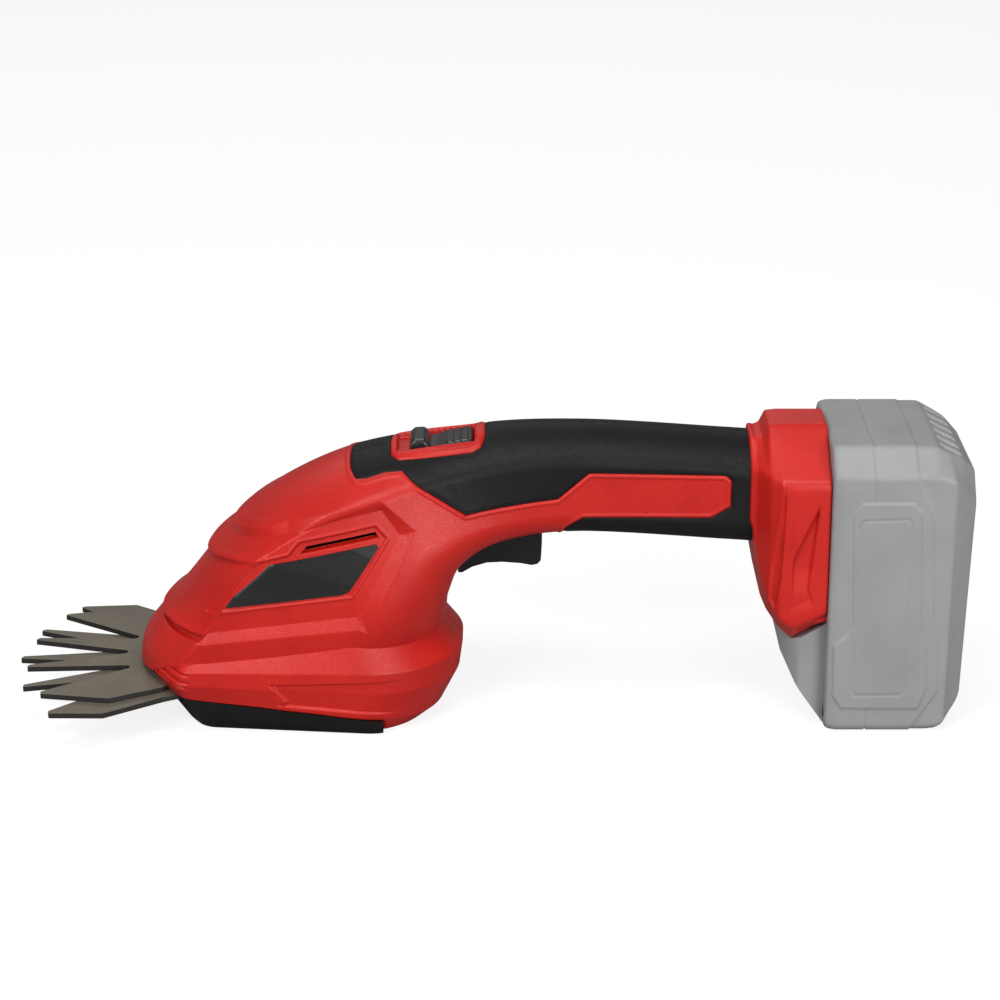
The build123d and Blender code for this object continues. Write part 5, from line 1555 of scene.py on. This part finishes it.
@dataclass
class LockSlide:
    """Thumb slide of the lock: a bevelled block in front, a scooped saddle and a rising pad with thin ribs.

    Args:
        half_width: Half width of the slide.
        height: Height of its sides.
        rib: Height of the ribs.
        rib_width: Width of the ribs.
        ribs: Share of the length at which each rib stands.
    """

    half_width: float = 8.0
    height: float = 7.2
    rib: float = 0.35
    rib_width: float = 0.26
    ribs: tuple[float, ...] = (0.55, 0.67, 0.79, 0.91)

    def ring(self, x: float, top: float, base: float) -> tuple[Point, ...]:
        """Control points of one section, from the middle of its underside round to the middle again.

        Args:
            x: Place along the tool.
            top: Height of the section's top.
            base: Height of its underside.

        Returns:
            Eight places; a section as flat as the end ones has its sides just over its underside.
        """
        w = self.half_width
        side = top - 1.8 if top - base > 1.2 else base + 0.1
        return tuple((x, y, z) for y, z in (
            (0.0, base), (-w + 0.4, base), (-w, side), (-w + 1.3, top), (w - 1.3, top), (w, side), (w - 0.4, base),
            (0.0, base)))

    def build(self) -> None:
        """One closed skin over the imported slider, which stays under it for its stem."""
        low, high = (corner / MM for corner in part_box("lock_slider"))
        length, top = high.x - low.x, high.z
        base = top - self.height
        rings = tuple(self.ring(low.x + length * share, top + drop, base) for share, drop in SLIDE_PROFILE)
        start = SoftNet(rings, (0.5, 0.5), (0.16, 0.2), 3).grid()
        share = (start[..., 0] - low.x) / length
        slant = share + 0.012 * (start[..., 2] - top)
        ribs = sum(ridge((slant - place) * length, self.rib_width) for place in self.ribs)
        over = (start[..., 2] > base + 1.2) & (share < 0.985)
        points = pushed(start, self.rib * ribs * over)
        points[..., 2] = np.minimum(points[..., 2], top)
        piece = GLOSS_BLACK.dress(grid_piece("lock_thumb_skin", points, False))
        stem = BLACK.dress(cad_copy("lock_slider", "lock_thumb_slide", 0.0))
        shrink(stem, (low.x + length / 2, 0.0, top), (0.92, 0.88, 1.0), lambda x, y, z: z > base)
        shrink(stem, (low.x + length / 2, 0.0, base - 2.0), (1.0, 1.0, 0.25), lambda x, y, z: z > base)
        for part in (piece, stem):
            carry(part, "lock", ["lock_slider"])
        LOG.info("lock_thumb_skin: %d points", start[..., 0].size)


# ================================================================= stage
@dataclass(frozen=True)
class Lamp:
    """Rectangular soft lamp.

    Args:
        name: Name of the lamp.
        place: Its place in metres.
        size: Its width and height in metres.
        power: Its power in watts.
    """

    name: str
    place: Point
    size: tuple[float, float]
    power: float

    def build(self, target: Point) -> None:
        """Puts the lamp up so that it looks at the target.

        Args:
            target: Look-at point in metres.
        """
        data = bpy.data.lights.new(self.name, "AREA")
        data.shape = "RECTANGLE"
        data.size, data.size_y = self.size
        data.energy = self.power
        lamp = bpy.data.objects.new(self.name, data)
        lamp.location = self.place
        lamp.rotation_euler = (Vector(target) - Vector(self.place)).to_track_quat("-Z", "Y").to_euler()
        bpy.context.scene.collection.objects.link(lamp)


@dataclass(frozen=True)
class Studio:
    """Pale floor, soft lamps and the camera.

    Args:
        distance: Camera to the look-at point, metres.
        elevation: Height of the view, degrees.
        lens: Focal length on a sensor of the given width.
        sensor: Width of the sensor in millimetres.
        near: Nearest distance that the camera shows, metres.
        target: Look-at point, metres.
        floor_half: Half width of the floor in millimetres.
        floor_drop: Depth of the floor under the tool in millimetres.
        floor_grey: Floor's colour for reflections and to the camera.
        floor_glow: Strength of the floor's own light.
        glow_share: Share of that light in what the camera sees.
        sky: Strength of the surroundings as a light and to the camera.
        lamps: All lamps.
    """

    distance: float = 1.06
    elevation: float = 20.0
    lens: float = 102.6
    sensor: float = 36.0
    near: float = 0.05
    target: Point = (0.0044, 0.0, 0.0777)
    floor_half: float = 4000.0
    floor_drop: float = 0.2
    floor_grey: tuple[float, float] = (0.30, 0.90)
    floor_glow: float = 1.17
    glow_share: float = 0.72
    sky: tuple[float, float] = (0.16, 1.0)
    lamps: tuple[Lamp, ...] = (
        Lamp("key", (-0.8, -1.1, 1.0), (0.6, 0.6), 11.0),
        Lamp("top", (-0.05, -0.42, 1.5), (1.0, 0.4), 9.0),
        Lamp("fill", (0.75, -1.3, 0.5), (0.7, 0.7), 12.0),
        Lamp("back", (-0.2, 1.3, 1.0), (1.2, 0.5), 2.0))

    def seen(self, tree: bpy.types.NodeTree, levels: tuple[float, float]) -> bpy.types.NodeSocket:
        """A value that is one level for all light and another for what the camera sees.

        Args:
            tree: Nodes of the floor or the surroundings.
            levels: Level for other light, and level to the camera.

        Returns:
            The value.
        """
        path = tree.nodes.new("ShaderNodeLightPath")
        level = tree.nodes.new("ShaderNodeMapRange")
        level.inputs["To Min"].default_value, level.inputs["To Max"].default_value = levels
        tree.links.new(path.outputs["Is Camera Ray"], level.inputs["Value"])
        return level.outputs["Result"]

    def floor(self) -> None:
        """White floor that keeps a soft shadow."""
        w, z = self.floor_half, -self.floor_drop
        corners = np.array([[-w, -w, z], [w, -w, z], [w, w, z], [-w, w, z]])
        floor = put_mesh("studio_floor", corners, np.array([[0, 1, 2, 3]]))
        made = bpy.data.materials.new("studio_white")
        made.use_nodes = True
        tree = made.node_tree
        shader = tree.nodes["Principled BSDF"]
        shader.inputs["Roughness"].default_value = 0.9
        shader.inputs["Specular IOR Level"].default_value = 0.1
        glow = tree.nodes.new("ShaderNodeEmission")
        glow.inputs["Strength"].default_value = self.floor_glow
        mix = tree.nodes.new("ShaderNodeMixShader")
        tree.links.new(self.seen(tree, self.floor_grey), shader.inputs["Base Color"])
        tree.links.new(self.seen(tree, (0.0, self.glow_share)), mix.inputs[0])
        tree.links.new(shader.outputs[0], mix.inputs[1])
        tree.links.new(glow.outputs[0], mix.inputs[2])
        tree.links.new(mix.outputs[0], tree.nodes["Material Output"].inputs["Surface"])
        floor.data.materials.append(made)

    def world(self) -> None:
        """Even pale surroundings, white where the camera looks at them."""
        world = bpy.data.worlds.new("studio")
        bpy.context.scene.world = world
        world.use_nodes = True
        tree = world.node_tree
        sky = tree.nodes["Background"]
        sky.inputs["Color"].default_value = (1.0, 1.0, 1.0, 1.0)
        tree.links.new(self.seen(tree, self.sky), sky.inputs["Strength"])

    def camera(self) -> None:
        """Camera square to the tool's left side and looking down on it by the elevation."""
        data = bpy.data.cameras.new("view")
        data.lens = self.lens
        data.sensor_width = self.sensor
        data.clip_start = self.near
        camera = bpy.data.objects.new("view", data)
        angle = math.radians(self.elevation)
        x, y, z = self.target
        camera.location = (x, y - self.distance * math.cos(angle), z + self.distance * math.sin(angle))
        camera.rotation_euler = (math.radians(90.0 - self.elevation), 0.0, 0.0)
        bpy.context.scene.collection.objects.link(camera)
        bpy.context.scene.camera = camera

    def build(self) -> None:
        """Floor, world, lamps, camera and a plain colour transform."""
        self.floor()
        self.world()
        for lamp in self.lamps:
            lamp.build(self.target)
        self.camera()
        bpy.context.scene.view_settings.view_transform = "Standard"


# ================================================================= solids shown as they are, or as rounded copies
NODE_FINISHES = {
    BRIGHT: ("housing_screws", "sole_screws", "pivot_bush", "pivot_washer", "pivot_bolt", "pivot_nut",
             "spring_washer", "blade_spacers", "blade_screws", "drive_gear", "crank_roller", "idler_pin", "motor_can",
             "motor_rotor", "trigger_pin", "trigger_spring", "lock_leaf", "cell_strips"),
    BRONZE: ("drive_bearing", "motor_pinion", "motor_tabs", "tool_terminals", "battery_clips"),
    ALLOY: ("gear_case_lower", "gear_case_upper"),
    FERRITE: ("motor_magnets",),
    SLEEVE: ("battery_cells",),
    NYLON: ("idler_gear", "switch_plunger", "cell_holder_left", "cell_holder_right"),
    BOARD: ("battery_board",),
    BLACK: ("motor_cap", "switch_body", "terminal_block"),
    PLATE: ("rating_plate",),
}


@dataclass(frozen=True)
class RoundedSolid:
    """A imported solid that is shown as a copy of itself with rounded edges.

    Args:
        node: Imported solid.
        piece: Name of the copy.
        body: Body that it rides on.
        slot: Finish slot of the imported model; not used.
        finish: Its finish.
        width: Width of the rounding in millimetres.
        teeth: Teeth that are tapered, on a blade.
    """

    node: str
    piece: str
    body: str
    slot: str
    finish: Finish
    width: float
    teeth: Optional[Teeth] = None

    def build(self) -> None:
        """The copy, dressed and riding on its body."""
        made = self.finish.dress(cad_copy(self.node, self.piece, self.width))
        if self.teeth:
            self.teeth.taper(made)
        carry(made, self.body, [self.node])
        LOG.info("%s", self.piece)


ROUNDED_SOLIDS = (
    RoundedSolid("sole_cover", "sole_shoe", "housing", "black_plastic", SOLE_BLACK, 0.8),
    RoundedSolid("lower_blade", "fixed_blade", "housing", "blade_steel", BLADE, 0.25, Teeth(5, 84.6)),
    RoundedSolid("upper_blade", "moving_blade", "upper_blade", "blade_steel", BLADE, 0.25, Teeth(4, 81.5)),
    RoundedSolid("trigger", "trigger_lever", "trigger", "black_plastic", BLACK, 1.2),
    RoundedSolid("battery_latch_button", "pack_button", "latch", "grey_shell", GREY, 0.6))


def main() -> None:
    """Builds the stage and every sub-assembly in order."""
    logging.basicConfig(level=logging.INFO, format="%(message)s")
    Studio().build()
    housing = Housing()
    housing.build()
    Grip().build(housing)
    Pack().build()
    LockSlide().build()
    for solid in ROUNDED_SOLIDS:
        solid.build()
    for finish, nodes in NODE_FINISHES.items():
        for node in nodes:
            finish.dress_node(node)


if __name__ == "__main__":
    main()
